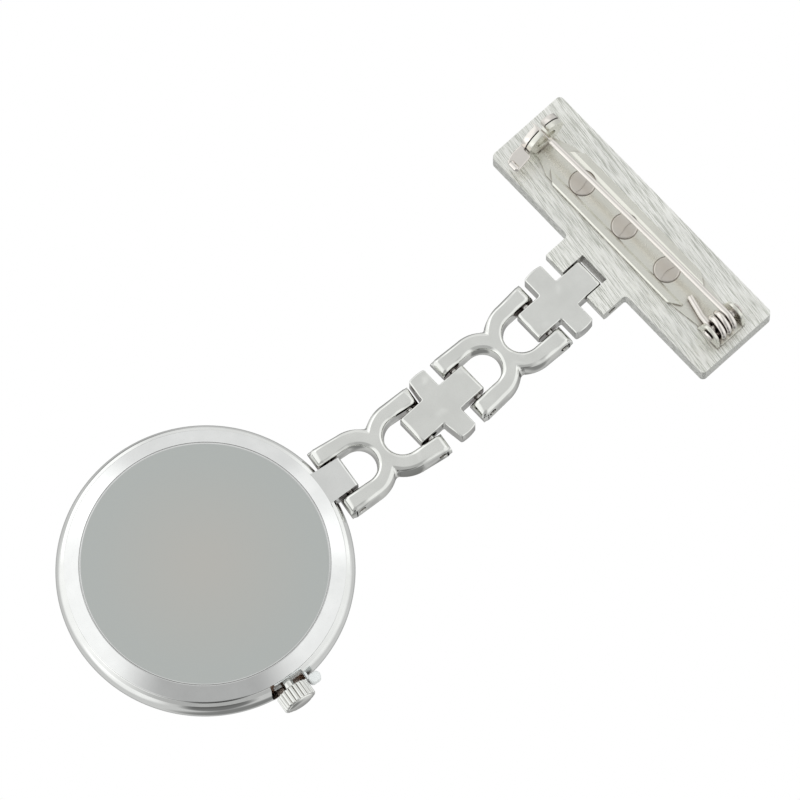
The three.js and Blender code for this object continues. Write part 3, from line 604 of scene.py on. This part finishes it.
def brooch_plate():
    """A slab with crisp garment-side edges and a clevis tab whose back runs flush into it."""
    x, z = PLATE_HALF_X, PLATE_HALF_Z
    slab = rounded([(-x, -z), (x, -z), (x, z), (-x, z)], PLATE_CORNER)
    plate = prism("brooch_plate_visual", slab, PLATE_FRONT, FACE_Y)
    inside = 0.55 - z
    back_roll, front_roll = 0.25, 0.5
    profile = [(FACE_Y, inside)]
    profile += arc((FACE_Y - back_roll, TAB_END + back_roll), back_roll, 0, -90, 6)
    profile += arc((TAB_FRONT + front_roll, TAB_END + front_roll), front_roll, -90, -180, 8)
    profile += [(TAB_FRONT, inside)]
    tab = side_prism("tab", profile, -TAB_HALF_X, TAB_HALF_X)
    notch_back, notch_front = -5.05, -5.25
    slope = [(FACE_Y + 1, -PAST), (FACE_Y + 1, notch_back), (FACE_Y, notch_back)]
    slope += [(PLATE_FRONT, notch_front), (PLATE_FRONT - 0.6, notch_front), (PLATE_FRONT - 0.6, -PAST)]
    notch = side_prism("notch", slope, -NOTCH_HALF_X, NOTCH_HALF_X)
    fillet = 0.45
    fillets = []
    for side in (-1, 1):
        centre = (side * (TAB_HALF_X + fillet), -z - fillet)
        corner = [(side * (TAB_HALF_X - 0.05), 0.05 - z), (centre[0], 0.05 - z)]
        corner += arc(centre, fillet, 90, 90 + side * 90, 8)
        fillets.append(prism("fillet", corner, HINGE_Y - 0.9, FACE_Y))
    plate = join(plate, cut(tab, notch), *fillets)
    plate = soften(plate, 0.1, 3, 40)
    plate = cut(plate, rod("bore", PIN_BORE, -PAST, PAST, (0, HINGE_Y, PIN_1), "X"))
    return settle(plate, "brooch", ["brooch_plate"], PLATE, "plate_steel")


def mirrored(half):
    """An outline's upper half, followed by its lower half."""
    return half + [(x, -z) for x, z in reversed(half)]


def tray_plan():
    """The raised sides run out in slants at both ends."""
    return rounded(mirrored([(10.6, 1.25), (8.9, 2.5), (-7.4, 2.5), (-9.4, 1.25)]), 0.3)


def pin_base():
    """A pressed channel: a flat floor with raised rims, ears round the spring, and a narrow catch end."""
    plan = rounded(mirrored([(12.7, 1.2), (10.3, 2.1), (-8.6, 2.1), (-11.3, 1.7), (-14.7, 1.7)]), 0.5)
    bottom = FACE_Y + 0.03
    base = soften(prism("pin_base_visual", plan, FACE_Y + 0.02, FACE_Y + 0.34), 0.07, 2)
    rim = [(0.35, 1.2), (0.35, 1.3), (0.62, 1.62), (0.65, 2.2), (0.5, 2.34), (0.03, 2.34), (0.03, 1.2)]
    section = mirrored([(FACE_Y + y, z) for y, z in rim])
    tray = side_prism("tray", section, -9, 11)
    tray = meet(tray, prism("tray_plan", tray_plan(), FACE_Y - 1, FACE_Y + 2))
    base = join(base, soften(tray, 0.12, 4, 20))
    ear_radius, ear_in, ear_out = 1.15, 1.5, 1.9
    for side in (-1, 1):
        outline = [(SPRING.x + 1.7, FACE_Y + 0.05)]
        outline += arc((SPRING.x, SPRING.y), ear_radius, 0, 180, 24) + [(SPRING.x - 1.4, FACE_Y + 0.05)]
        low, high = sorted((side * ear_in, side * ear_out))
        base = join(base, soften(lying_prism("ear", outline, low, high), 0.08, 3))
    for x in RIVET_XS:
        low, high = FACE_Y + 0.27, FACE_Y + 0.6
        inner, outer = RIVET_RADIUS + 0.02, RIVET_RADIUS + 0.12
        profile = [(inner, low), (outer, low), (outer, high), (inner, high)]
        base = cut(base, turned("groove", profile, 72, (x, 0, 0)))
    half_z = 0.7
    foot = block("foot", (CATCH.x - 0.95, bottom, -half_z), (CATCH.x - 0.4, CATCH.y - 1.3, half_z))
    tongue = block("tongue", (CATCH.x - 1.9, bottom, -half_z), (CATCH.x - 0.4, FACE_Y + 0.36, half_z))
    hook = catch_ring("catch_hook", -0.95, -0.4, 1.2, 2.3)
    barrel = catch_ring("barrel", -0.6, 0.4, 1.2, 1.42)
    base = join(base, soften(tongue, 0.08), soften(foot, 0.1), hook, barrel)
    return settle(base, "brooch", ["pin_base"], NICKEL_BASE, "nickel")


def catch_ring(name, low, high, inner, outer):
    """A ring about the catch's axis with a narrow slot towards +Y for the needle."""
    slot_half = 0.37
    profile = [(inner, low), (outer, low), (outer, high), (inner, high)]
    ring = turned(name, profile, 96, (CATCH.x, CATCH.y, 0), "X")
    slot = block("slot", (CATCH.x - 2, CATCH.y + 0.5, -slot_half), (CATCH.x + 2, CATCH.y + 4, slot_half))
    return soften(cut(ring, slot), min(0.14, (outer - inner) / 3), 3)


def catch_lock():
    """The turning half of the catch: an open ring with a finger tab whose end is rolled over."""
    ring = catch_ring("catch_lock_visual", -0.3, 0.3, 1.46, 2.35)
    arm = block("arm", (CATCH.x - 0.3, CATCH.y - 0.2, -3.2), (CATCH.x + 0.3, CATCH.y + 0.2, -2.1))
    plan = rounded([(-1.6, -4.6), (-0.1, -4.6), (0.25, -3.6), (0.25, -2.4), (-1.3, -2.4)], 0.35)
    tab = prism("tab", [(CATCH.x + x, z) for x, z in plan], CATCH.y - 0.2, CATCH.y + 0.2)
    roll = rod("roll", 0.34, -1.4, -0.3, (CATCH.x, CATCH.y + 0.1, -4.35), "X", 0.12)
    ring = join(ring, soften(arm, 0.12, 3), soften(tab, 0.12, 3), roll)
    return settle(ring, "lock", ["catch_lock"], NICKEL, "nickel")


def base_rivets():
    """Flush heads, each with a slightly wandering score across it, a little off centre."""
    for i, x in enumerate(RIVET_XS):
        profile = [(0, 0.2), (RIVET_RADIUS, 0.2), (RIVET_RADIUS, 0.4), (1.2, 0.46), (0, 0.49)]
        profile = [(radius, FACE_Y + y) for radius, y in profile]
        head = turned(f"base_rivet_{i + 1}_visual", profile, 72, (x, 0, 0))
        wobble = [(x - 0.3 + 0.12 * math.sin(2.6 * z + i), z) for z in np.linspace(-1.15, 1.15, 14)]
        half = 0.07
        score = [(middle - half, z) for middle, z in wobble]
        score += [(middle + half, z) for middle, z in reversed(wobble)]
        head = cut(head, prism("score", score, FACE_Y + 0.4, FACE_Y + 0.9))
        settle(head, "brooch", [f"base_rivet_{i + 1}"], RIVET, "nickel")


def hinge_rivet():
    """A shank through the base's ears, with a low head at each end."""
    centre = (SPRING.x, SPRING.y, 0)
    shank = rod("hinge_rivet_visual", 0.4, -2.15, 2.15, centre, "Z")
    for low, high in ((-2.25, -1.92), (1.92, 2.25)):
        shank = join(shank, rod("cap", 0.66, low, high, centre, "Z", 0.14))
    return settle(shank, "brooch", ["hinge_rivet"], NICKEL, "nickel")


def brooch_pin():
    """The tail, three turns and the needle, as one swept wire."""
    radius, wire, pitch, turns = 1.08, 0.32, 0.72, 2.5
    low = -pitch * 1.5
    path = [Vector((-8.9, FACE_Y + 0.72, -0.3)), Vector((-11.2, FACE_Y + 0.8, low * 0.8))]
    steps, bow = 90, 0.25
    for i in range(steps + 1):
        angle = -math.pi / 2 - 2 * math.pi * turns * i / steps
        z = low + pitch * turns * i / steps
        path.append(Vector((SPRING.x + radius * math.cos(angle), SPRING.y + radius * math.sin(angle), z)))
    top = SPRING.y + radius
    start = Vector((SPRING.x, top, low + pitch * turns))
    end = Vector((CATCH.x + 1.3, top - 0.12, 0.05))
    for share in (0.06, 0.12, 0.2, 0.35, 0.5, 0.65, 0.8, 0.88, 0.92, 0.96, 0.985, 1.0):
        point = start.lerp(end, share)
        point.y += bow * math.sin(math.pi * share)
        path.append(point)
    radii = [wire] * (len(path) - 4) + [0.28, 0.2, 0.1, 0.02]
    pin = sweep("brooch_pin_visual", path, radii, 20)
    return settle(pin, "needle", ["brooch_pin"], NICKEL, "nickel")


# ---------------------------------------------------------------- chain


def link_from(name, front, back, low, high, roll, edge, steps, upright):
    """A plan that tapers from front to back, cut from a bar whose ends roll over, then softened."""
    corners = [(LINK_FRONT, low), (LINK_BACK, low), (LINK_BACK, high), (LINK_FRONT, high)]
    rolls = [LINK_FRONT_ROLL, roll, roll, LINK_FRONT_ROLL]
    bar = side_prism("bar", rounded(corners, rolls, 10), -6, 6)
    link = meet(prism(name, front, LINK_FRONT - 0.01, LINK_BACK + 0.01, back), bar)
    return soften(link, edge, steps, 30, upright)


def cross_link(name, z, body, node, lower_bore=PIN_BORE, rise=0.0):
    """The arms reach down a little further than up. Their undersides can rise towards their ends."""
    tongue, wing_low, wing_high, span = 1.625, -1.42, 0.85, 4.0
    middle = (wing_low + wing_high) / 2
    bow = math.degrees(math.asin((wing_high - middle) / span))
    under = math.degrees(math.asin((middle - wing_low - rise) / span))
    right = [(tongue, -6), (tongue, wing_low), (2.0, wing_low)] + arc((0, middle), span, -under, bow, 8)
    right += [(tongue, wing_high), (tongue, 6)]
    left = [(-x, y) for x, y in reversed(right)]
    outline = [(x, z + y) for x, y in right + left]
    link = link_from(name, outline, outline, z - 4.5, z + 4.05, 0.45, 0.16, 4, True)
    upper = rod("bore", PIN_BORE, -PAST, PAST, (0, HINGE_Y, z + CROSS_REACH), "X")
    lower = rod("bore", lower_bore, -PAST, PAST, (0, HINGE_Y, z - CROSS_REACH), "X")
    return settle(cut(link, upper, lower), body, [node], CHROME, "polished_chrome")


def bow_outline(outer, inner, half):
    """Two horseshoes back to back, whose outer arcs meet in a cusp at the waist."""
    centre, gap_centre, arm, beyond = 2.75, 2.68, 5.6, 7.0
    cusp = math.degrees(math.asin(centre / outer))
    right = [(inner, -beyond), (half, -beyond), (half, -arm)] + arc((0, -centre), outer, 0, cusp, 24)
    right += arc((0, centre), outer, -cusp, 0, 24)[1:] + [(half, arm), (half, beyond), (inner, beyond)]
    gap_high = arc((0, gap_centre), inner, 0, -180, 36)
    left = [(-x, -y) for x, y in right]
    gap_low = [(-x, -y) for x, y in gap_high]
    return right + gap_high + left + gap_low


def bow_link(name, z, body, node, place):
    """The arms widen a little from the garment side to the front."""
    back = [(x, z + y) for x, y in bow_outline(3.7, 2.0, 3.88)]
    front = [(x, z + y) for x, y in bow_outline(3.98, 1.82, 4.1)]
    link = link_from(name, front, back, z - 6.15, z + 5.95, 0.8, 0.45, 8, False)
    for pin_z in (z - BOW_REACH, z + BOW_REACH):
        link = cut(link, rod("bore", 0.43, -PAST, PAST, (0, HINGE_Y, pin_z), "X"))
    return settle(link, body, [node], CHROME, "polished_chrome", place)


def link_pin(number, z, half, body, place=STRAIGHT):
    pin = rod(f"link_pin_{number}_visual", PIN_RADIUS, -half, half, (0, HINGE_Y, z), "X", 0.08)
    return settle(pin, body, [f"link_pin_{number}"], CHROME, "polished_chrome", place)


# ---------------------------------------------------------------- watch head


def head_round(name, profile, segments=ROUND):
    return turned(name, profile, segments, (0, HINGE_Y, HEAD_Z))


def two_finishes(piece, first, second, takes_second):
    """Gives faces the second material where a test of their centre says so, and the first elsewhere."""
    piece.data.materials.append(first)
    piece.data.materials.append(second)
    for face in piece.data.polygons:
        face.material_index = int(takes_second(face.center))


def in_pocket(point):
    """Inside the pocket milled for the crown."""
    away = math.hypot(point.y - HINGE_Y, point.z - HEAD_Z)
    return point.x < POCKET_FLOOR + 0.1 and away < POCKET_RADIUS + 0.01


def case_body():
    """The middle ring, its lug, the crown's pocket and the stem's hole."""
    rim = [(13.2, -3.55), (13.2, -3.0), (13.9, -3.0)]
    rim += arc((12.72, -0.55), 2.25, -52, 40, 18)
    rim += [(14.12, 1.02), (14.07, 1.08), (13.2, 1.08), (13.2, 0.7), (12.2, 0.7)]
    rim += [(12.2, -1.97), (11.5, -1.97), (11.9, -3.25), (12.6, -3.25), (12.6, -3.55)]
    case = head_round("case_body_visual", rim)
    lug_half = 1.05
    front, back = HINGE_Y - lug_half, HINGE_Y + lug_half
    low, high = HEAD_Z + 13.5, PIN_5 + lug_half
    corners = [(front, low), (back, low), (back, high), (front, high)]
    side = rounded(corners, [0.01, 0.01, 0.4, 0.75], 8)
    lug = side_prism("lug", side, -2.2, 2.2)
    wide = [(-1.87, HEAD_Z + 13.0), (1.87, HEAD_Z + 13.0), (1.66, HEAD_Z + 18), (-1.66, HEAD_Z + 18)]
    lug = soften(meet(lug, prism("wide", wide, -5, 5)), 0.2, 4, 30)
    case = join(case, lug)
    case = cut(case, rod("bore", 0.44, -6, 6, (0, HINGE_Y, PIN_5), "X"))
    centre, outside = (0, HINGE_Y, HEAD_Z), -18
    corners = [(0, outside), (POCKET_RADIUS, outside), (POCKET_RADIUS, POCKET_FLOOR), (0, POCKET_FLOOR)]
    pocket = turned("pocket", corners, 64, centre, "X")
    hole = turned("hole", [(0, outside), (0.64, outside), (0.64, -11), (0, -11)], 40, centre, "X")
    case = cut(case, pocket, hole)
    # The pocket's faces take the painted pocket shade, a darker copy of the case metal.
    two_finishes(case, CASE, POCKET_SHADE, in_pocket)
    return settle(case, "head", ["case_body"], CASE, "polished_chrome", LEANED, 24)


def on_disc(point):
    """On the case back's flat disc."""
    away = math.hypot(point.x, point.z - HEAD_Z)
    return point.y - HINGE_Y > DISC_BACK - 0.05 and away < DISC_RADIUS + 0.02


def case_back():
    """A snap-on lid: a seat behind the rim, a polished bevel, a fine groove and a flat satin disc."""
    profile = [(0, 1.42), (12.45, 1.42), (12.45, 0.87), (13.1, 0.87), (13.1, 1.13), (14.0, 1.13)]
    profile += arc((13.98, 1.24), 0.09, -60, 50, 5)
    profile += [(12.66, 2.04), (12.6, 2.06), (12.56, 1.98), (12.5, 1.98)]
    profile += [(12.46, 2.08), (DISC_RADIUS, DISC_BACK), (0, DISC_BACK)]
    back = head_round("case_back_visual", profile)
    two_finishes(back, BEVEL, SATIN, on_disc)
    return settle(back, "head", ["case_back"], BEVEL, "satin_back", LEANED, 18)


def bezel():
    profile = [(12.6, -4.4), (12.68, -4.47), (12.92, -4.47)] + arc((12.7, -3.35), 1.2, -70, 0, 14)
    profile += [(13.9, -3.03), (13.23, -3.03), (13.23, -3.58), (12.6, -3.58)]
    return settle(head_round("bezel_visual", profile), "head", ["bezel"], CASE, "polished_chrome", LEANED)


def crystal():
    """Slightly domed, with a chamfered rim."""
    flat, edge, back = 11.6, 11.97, -3.28
    dome = [(r, -4.85 + 0.4 * (r / flat) ** 2.4) for r in np.linspace(0, flat, 14)]
    profile = dome + [(11.85, -4.36), (edge, -4.2), (edge, back), (0, back)]
    glass = head_round("crystal_visual", profile, 128)
    return settle(glass, "head", ["crystal"], GLASS, "crystal_glass", LEANED)


def dial():
    hole, back = 0.95, -1.55
    profile = [(hole, DIAL_FRONT), (11.95, DIAL_FRONT), (12.0, -1.9), (12.0, back), (hole, back)]
    disc = head_round("dial_visual", profile, 128)
    return settle(disc, "head", ["dial"], DIAL_WHITE, "dial_paint", LEANED)


def spun(piece, degrees):
    """Turns a piece clockwise about the head's axis, as seen from the dial side."""
    centre = Vector((0, HINGE_Y, HEAD_Z))
    turn = Matrix.Rotation(math.radians(degrees), 4, "Y")
    piece.data.transform(Matrix.Translation(centre) @ turn @ Matrix.Translation(-centre))
    return piece


def minute_track():
    """Sixty printed marks, the fives longer and wider."""
    front = HINGE_Y + DIAL_FRONT
    outer = HEAD_Z + 11.3
    for minute in range(60):
        long, half = (0.9, 0.14) if minute % 5 == 0 else (0.55, 0.06)
        name = f"minute_mark_{minute:02d}"
        mark = block(name, (-half, front - 0.03, outer - long), (half, front + 0.01, outer))
        settle(spun(mark, minute * 6), "head", [], INK, "black_paint", LEANED)


def numerals():
    """Twelve is at the bottom, so that the wearer looks down at an upright dial."""
    ring = 8.7
    for hour in range(1, 13):
        curve = bpy.data.curves.new(f"numeral_{hour}", "FONT")
        curve.body = str(hour)
        curve.size = 2.6
        curve.align_x = "CENTER"
        curve.align_y = "CENTER"
        curve.extrude = 0.02
        text = bpy.data.objects.new(f"numeral_{hour}", curve)
        bpy.context.scene.collection.objects.link(text)
        angle = math.radians(180 + 30 * hour)
        spot = Vector((ring * math.sin(angle), DIAL_FRONT - 0.03, ring * math.cos(angle)))
        place = Matrix.Translation(Vector((0, HINGE_Y, HEAD_Z)) + spot)
        upright = Matrix.Rotation(math.pi, 4, "Y") @ Matrix.Rotation(math.pi / 2, 4, "X")
        graph = bpy.context.evaluated_depsgraph_get()
        mesh = bpy.data.meshes.new_from_object(text.evaluated_get(graph))
        bpy.data.objects.remove(text)
        piece = bpy.data.objects.new(f"numeral_{hour}", mesh)
        bpy.context.scene.collection.objects.link(piece)
        mesh.transform(place @ upright)
        mesh.materials.clear()
        settle(piece, "head", [], INK, "black_paint", LEANED)


def hand(node, outline, boss, depths, degrees, body, finish):
    """A flat blade with a round boss, turned to its place on the dial."""
    low, high = depths
    outline = [(x, HEAD_Z + z) for x, z in outline]
    blade = prism(f"{node}_visual", outline, HINGE_Y + low, HINGE_Y + high)
    hub = head_round("hub", [(0, low), (boss, low), (boss, high), (0, high)], 48)
    blade = join(soften(blade, 0.03, 2), hub)
    return settle(spun(blade, degrees), body, [node], *finish, LEANED)


def hands():
    black, red = (INK, "black_paint"), (RED, "red_paint")
    spade = [(-0.4, -1.2), (0.4, -1.2), (0.6, 4.4), (0, 6.6), (-0.6, 4.4)]
    hand("hour_hand", spade, 1.2, (-2.4, -2.25), -125, "hours", black)
    long = [(-0.32, -1.4), (0.32, -1.4), (0.48, 7.2), (0, 9.7), (-0.48, 7.2)]
    hand("minute_hand", long, 1.0, (-2.75, -2.6), 120, "minutes", black)
    thin = [(-0.2, -3.2), (0.2, -3.2), (0.06, 10.2), (-0.06, 10.2)]
    hand("second_hand", thin, 0.65, (-3.08, -2.98), 30, "seconds", red)


def crown():
    """Fluted barrel and a smooth domed cap, along -X."""
    flutes, outer, depth = 22, 1.8, 0.2
    points = []
    for i in range(flutes * 8):
        angle = 2 * math.pi * i / (flutes * 8)
        wave = abs(math.sin(flutes * angle / 2))
        radius = outer - depth * (1 - wave) ** 1.6
        points.append((HINGE_Y + radius * math.cos(angle), HEAD_Z + radius * math.sin(angle)))
    centre = (0, HINGE_Y, HEAD_Z)
    barrel = side_prism("crown_visual", points, -16.75, CROWN_INNER)
    taper = [(0, -17.0), (1.5, -17.0), (1.85, -16.6), (1.85, -15.3), (1.65, -15.1), (0, -15.1)]
    barrel = meet(barrel, turned("taper", taper, 96, centre, "X"))
    dome = [(0, CROWN_OUTER), (0.7, -17.0), (1.2, -16.93), (1.42, -16.84), (1.52, -16.7)]
    cap = turned("cap", dome + [(1.52, -16.5), (0, -16.5)], 96, centre, "X")
    bore = turned("bore", [(0, -15.9), (0.85, -15.9), (0.85, -14), (0, -14)], 48, centre, "X")
    return settle(cut(join(barrel, cap), bore), "crown", ["crown"], CHROME, "polished_chrome", LEANED, 28)


def crown_stem():
    wire = rod("crown_stem_visual", 0.3, -16.2, -6.8, (0, HINGE_Y, HEAD_Z), "X")
    return settle(wire, "crown", ["crown_stem"], STEEL, "movement_steel", LEANED)


def crown_tube():
    profile = [(0.38, -14.9), (0.6, -14.9), (0.62, -14.87), (0.62, -12.3), (0.38, -12.3)]
    tube = turned("crown_tube_visual", profile, 48, (0, HINGE_Y, HEAD_Z), "X")
    return settle(tube, "head", ["crown_tube"], CHROME, "polished_chrome", LEANED)


def crown_clip():
    """The shipping clip: a fork round the tube and a rounded finger tab."""
    y, z = HINGE_Y, HEAD_Z
    fork = block("crown_stop_clip_visual", (-14.1, y - 1.2, z - 1.3), (-13.75, y + 1.05, z + 1.9))
    mouth = block("mouth", (-16, y - 0.66, z - 3), (-13, y + 0.66, z + 0.2))
    fork = soften(cut(fork, mouth), 0.1, 3)
    neck = block("neck", (-15.3, y - 0.5, z + 1.87), (-13.76, y + 0.6, z + 2.1))
    far, near, low, high = -15.95, -14.95, z + 1.88, z + 3.2
    outline = rounded([(far, low), (near, low), (near, high), (far, high)], 0.42, 10)
    tab = soften(prism("tab", outline, y - 0.6, y + 0.7), 0.2, 4)
    clip = join(fork, neck, tab)
    return settle(clip, "head", ["crown_stop_clip"], CLIP_PLASTIC, "clip_plastic", LEANED)


# ---------------------------------------------------------------- carried-over CAD nodes


def dress_cad_nodes():
    """The movement and seals keep their CAD shapes and take procedural finishes by slot."""
    finishes = {
        "nickel": NICKEL,
        "polished_chrome": CHROME,
        "satin_back": STEEL,
        "movement_brass": BRASS,
        "movement_steel": STEEL,
        "crystal_glass": GLASS,
        "white_plastic": WHITE_PLASTIC,
        "clip_plastic": CLIP_PLASTIC,
        "black_rubber": RUBBER,
        "dial_paint": DIAL_WHITE,
        "black_paint": INK,
        "red_paint": RED,
        "copper_wire": COPPER,
        "board": BOARD,
        "plate_steel": PLATE,
    }
    slots = {part["node"]: part["material_slot"] for part in frame["record"]["subparts"]}
    for name, node in frame["nodes"].items():
        node.data.materials.clear()
        node.data.materials.append(finishes[slots[name]])


# ---------------------------------------------------------------- stage, light and camera

# The camera looks at the garment side from a little below and to one side, rolled so that the chain runs up
# to the right.
CAMERA_AWAY = Vector((-0.207889, 0.960601, -0.184466)).normalized()
CAMERA_AIM = Vector((0.003084, FACE_Y * METRES, -0.02878))
CAMERA_ROLL = math.radians(-48.34)
CAMERA_DISTANCE = 1.1265
CAMERA_LENS = 507.0


def camera_turn():
    """The camera's axes as a turn: right, up and away from what it looks at."""
    level = Vector((0, 0, 1))
    up = (level - CAMERA_AWAY * level.dot(CAMERA_AWAY)).normalized()
    across = up.cross(CAMERA_AWAY)
    right = across * math.cos(CAMERA_ROLL) - up * math.sin(CAMERA_ROLL)
    top = across * math.sin(CAMERA_ROLL) + up * math.cos(CAMERA_ROLL)
    return Matrix((right, top, CAMERA_AWAY)).transposed().to_4x4()


CAMERA_TURN = camera_turn()

# The tent's own level, and what each softbox or dark gap adds: its direction (right, up, to camera), its
# half angle, how softly it ends, and its change in level.
TENT_LEVEL = 0.64
SOFTBOXES = (
    (-0.95, 0.1, 0.35, 34, 24, 0.45),
    (0.95, 0.0, 0.35, 30, 24, 0.35),
    (0.0, 1.0, 0.0, 26, 22, 0.2),
    (0.0, 0.53, 0.85, 18, 20, 0.08),
    (0.0, -0.6, 0.8, 24, 24, -0.16),
    (-0.7, -0.7, 0.1, 14, 14, 0.35),
    (-0.55, 0.75, 0.4, 12, 10, 0.3),
    (0.6, 0.7, 0.4, 12, 10, 0.25),
    (0.1, -0.98, 0.15, 12, 10, -0.45),
    (0.2, -0.85, -0.55, 14, 14, -0.4),
    (-0.35, 0.75, -0.55, 12, 12, -0.35),
    (0.0, 0.0, -1.0, 8, 34, -0.24),
)


def world():
    """A product tent: white to the camera, and grey with softboxes to everything that reflects it."""
    scene_world = bpy.data.worlds.new("studio")
    bpy.context.scene.world = scene_world
    scene_world.use_nodes = True
    nodes, links = scene_world.node_tree.nodes, scene_world.node_tree.links
    nodes.clear()

    def math_node(operation, *values):
        made = nodes.new("ShaderNodeMath")
        made.operation = operation
        for socket, value in zip(made.inputs, values):
            if isinstance(value, bpy.types.NodeSocket):
                links.new(value, socket)
            else:
                socket.default_value = value
        return made.outputs["Value"]

    def towards(direction):
        made = nodes.new("ShaderNodeVectorMath")
        made.operation = "DOT_PRODUCT"
        made.inputs[1].default_value = direction
        links.new(place, made.inputs[0])
        return made.outputs["Value"]

    def glow(direction, wide, soft, level):
        """A round softbox: full inside an angle, fading out over a softer one, in degrees."""
        inner, outer = math.cos(math.radians(wide)), math.cos(math.radians(wide + soft))
        made = nodes.new("ShaderNodeMapRange")
        made.interpolation_type = "SMOOTHSTEP"
        links.new(towards(direction), made.inputs["Value"])
        for key, value in (("From Min", outer), ("From Max", inner), ("To Min", 0.0), ("To Max", level)):
            made.inputs[key].default_value = value
        return made.outputs["Result"]

    place = nodes.new("ShaderNodeTexCoord").outputs["Generated"]
    right, up, back = CAMERA_TURN.col[0].to_3d(), CAMERA_TURN.col[1].to_3d(), CAMERA_TURN.col[2].to_3d()
    level = TENT_LEVEL
    for across, rise, towards_camera, wide, soft, change in SOFTBOXES:
        direction = (right * across + up * rise + back * towards_camera).normalized()
        level = math_node("ADD", level, glow(direction, wide, soft, change))
    level = math_node("MAXIMUM", level, 0.02)
    tent = nodes.new("ShaderNodeBackground")
    links.new(level, tent.inputs["Strength"])
    tent.inputs["Color"].default_value = (0.992, 1.0, 0.99, 1)
    plain = nodes.new("ShaderNodeBackground")
    plain.inputs["Color"].default_value = (1, 1, 1, 1)
    rays = nodes.new("ShaderNodeLightPath")
    mix = nodes.new("ShaderNodeMixShader")
    out = nodes.new("ShaderNodeOutputWorld")
    links.new(rays.outputs["Is Camera Ray"], mix.inputs["Fac"])
    links.new(tent.outputs["Background"], mix.inputs[1])
    links.new(plain.outputs["Background"], mix.inputs[2])
    links.new(mix.outputs["Shader"], out.inputs["Surface"])


def area_light(name, spot, aim, size, power):
    lamp = bpy.data.lights.new(name, "AREA")
    lamp.shape = "DISK"
    lamp.size = size
    lamp.energy = power
    lamp_object = bpy.data.objects.new(name, lamp)
    bpy.context.scene.collection.objects.link(lamp_object)
    lamp_object.location = spot
    lamp_object.visible_glossy = False
    lamp_object.rotation_euler = (Vector(aim) - Vector(spot)).to_track_quat("-Z", "Y").to_euler()


def floor():
    """A wide pale floor well below the hanging watch."""
    size, level = 6.0, CAD_LOW.z - 0.9
    corners = [(-size, -size, level), (size, -size, level), (size, size, level), (-size, size, level)]
    ground = new_piece("floor", corners, [(0, 1, 2, 3)])
    paint = Paint("floor_pale")
    grain = paint.noise(paint.place, 3.0, 2.0)
    paint.set(
        Base_Color=paint.mix(grain, (0.93, 0.93, 0.93), (0.95, 0.95, 0.95)),
        Roughness=0.9,
        Emission_Color=(1.0, 1.0, 1.0),
        Emission_Strength=0.35,
    )
    ground.data.materials.append(paint.material)
    ground.visible_glossy = False


def camera():
    lens = bpy.data.cameras.new("camera")
    lens.sensor_width = 36.0
    lens.lens = CAMERA_LENS
    lens.clip_start, lens.clip_end = 0.05, 50
    eye = bpy.data.objects.new("camera", lens)
    bpy.context.scene.collection.objects.link(eye)
    eye.matrix_world = Matrix.Translation(CAMERA_AIM + CAMERA_AWAY * CAMERA_DISTANCE) @ CAMERA_TURN
    bpy.context.scene.camera = eye


def build():
    brooch_plate()
    pin_base()
    catch_lock()
    base_rivets()
    hinge_rivet()
    brooch_pin()
    cross_link("cross_link_upper_visual", CROSS_1, "upper_cross", "cross_link_upper")
    bow_link("bow_link_upper_visual", BOW_1, "upper_bow", "bow_link_upper", STRAIGHT)
    cross_link("cross_link_lower_visual", CROSS_2, "lower_cross", "cross_link_lower", 0.66, 0.28)
    bow_link("bow_link_lower_visual", BOW_2, "lower_bow", "bow_link_lower", LEANED)
    link_pin(1, PIN_1, TAB_PIN_HALF, "brooch")
    link_pin(2, PIN_2, PIN_HALF, "upper_bow")
    link_pin(3, PIN_3, PIN_HALF, "upper_bow")
    link_pin(4, PIN_4, PIN_HALF, "loose_pin", LEANED)
    link_pin(5, PIN_5, PIN_HALF, "lower_bow", LEANED)
    case_body()
    case_back()
    bezel()
    crystal()
    dial()
    minute_track()
    numerals()
    hands()
    crown()
    crown_stem()
    crown_tube()
    crown_clip()
    dress_cad_nodes()


build()
bpy.context.scene.view_settings.view_transform = "Standard"
world()
floor()
area_light("key", (-0.5, 0.9, 0.6), (0, 0, -0.035), 0.6, 1.5)
area_light("dial_fill", (0.3, -1.0, 0.3), (0, 0, -0.05), 0.8, 4.5)
camera()
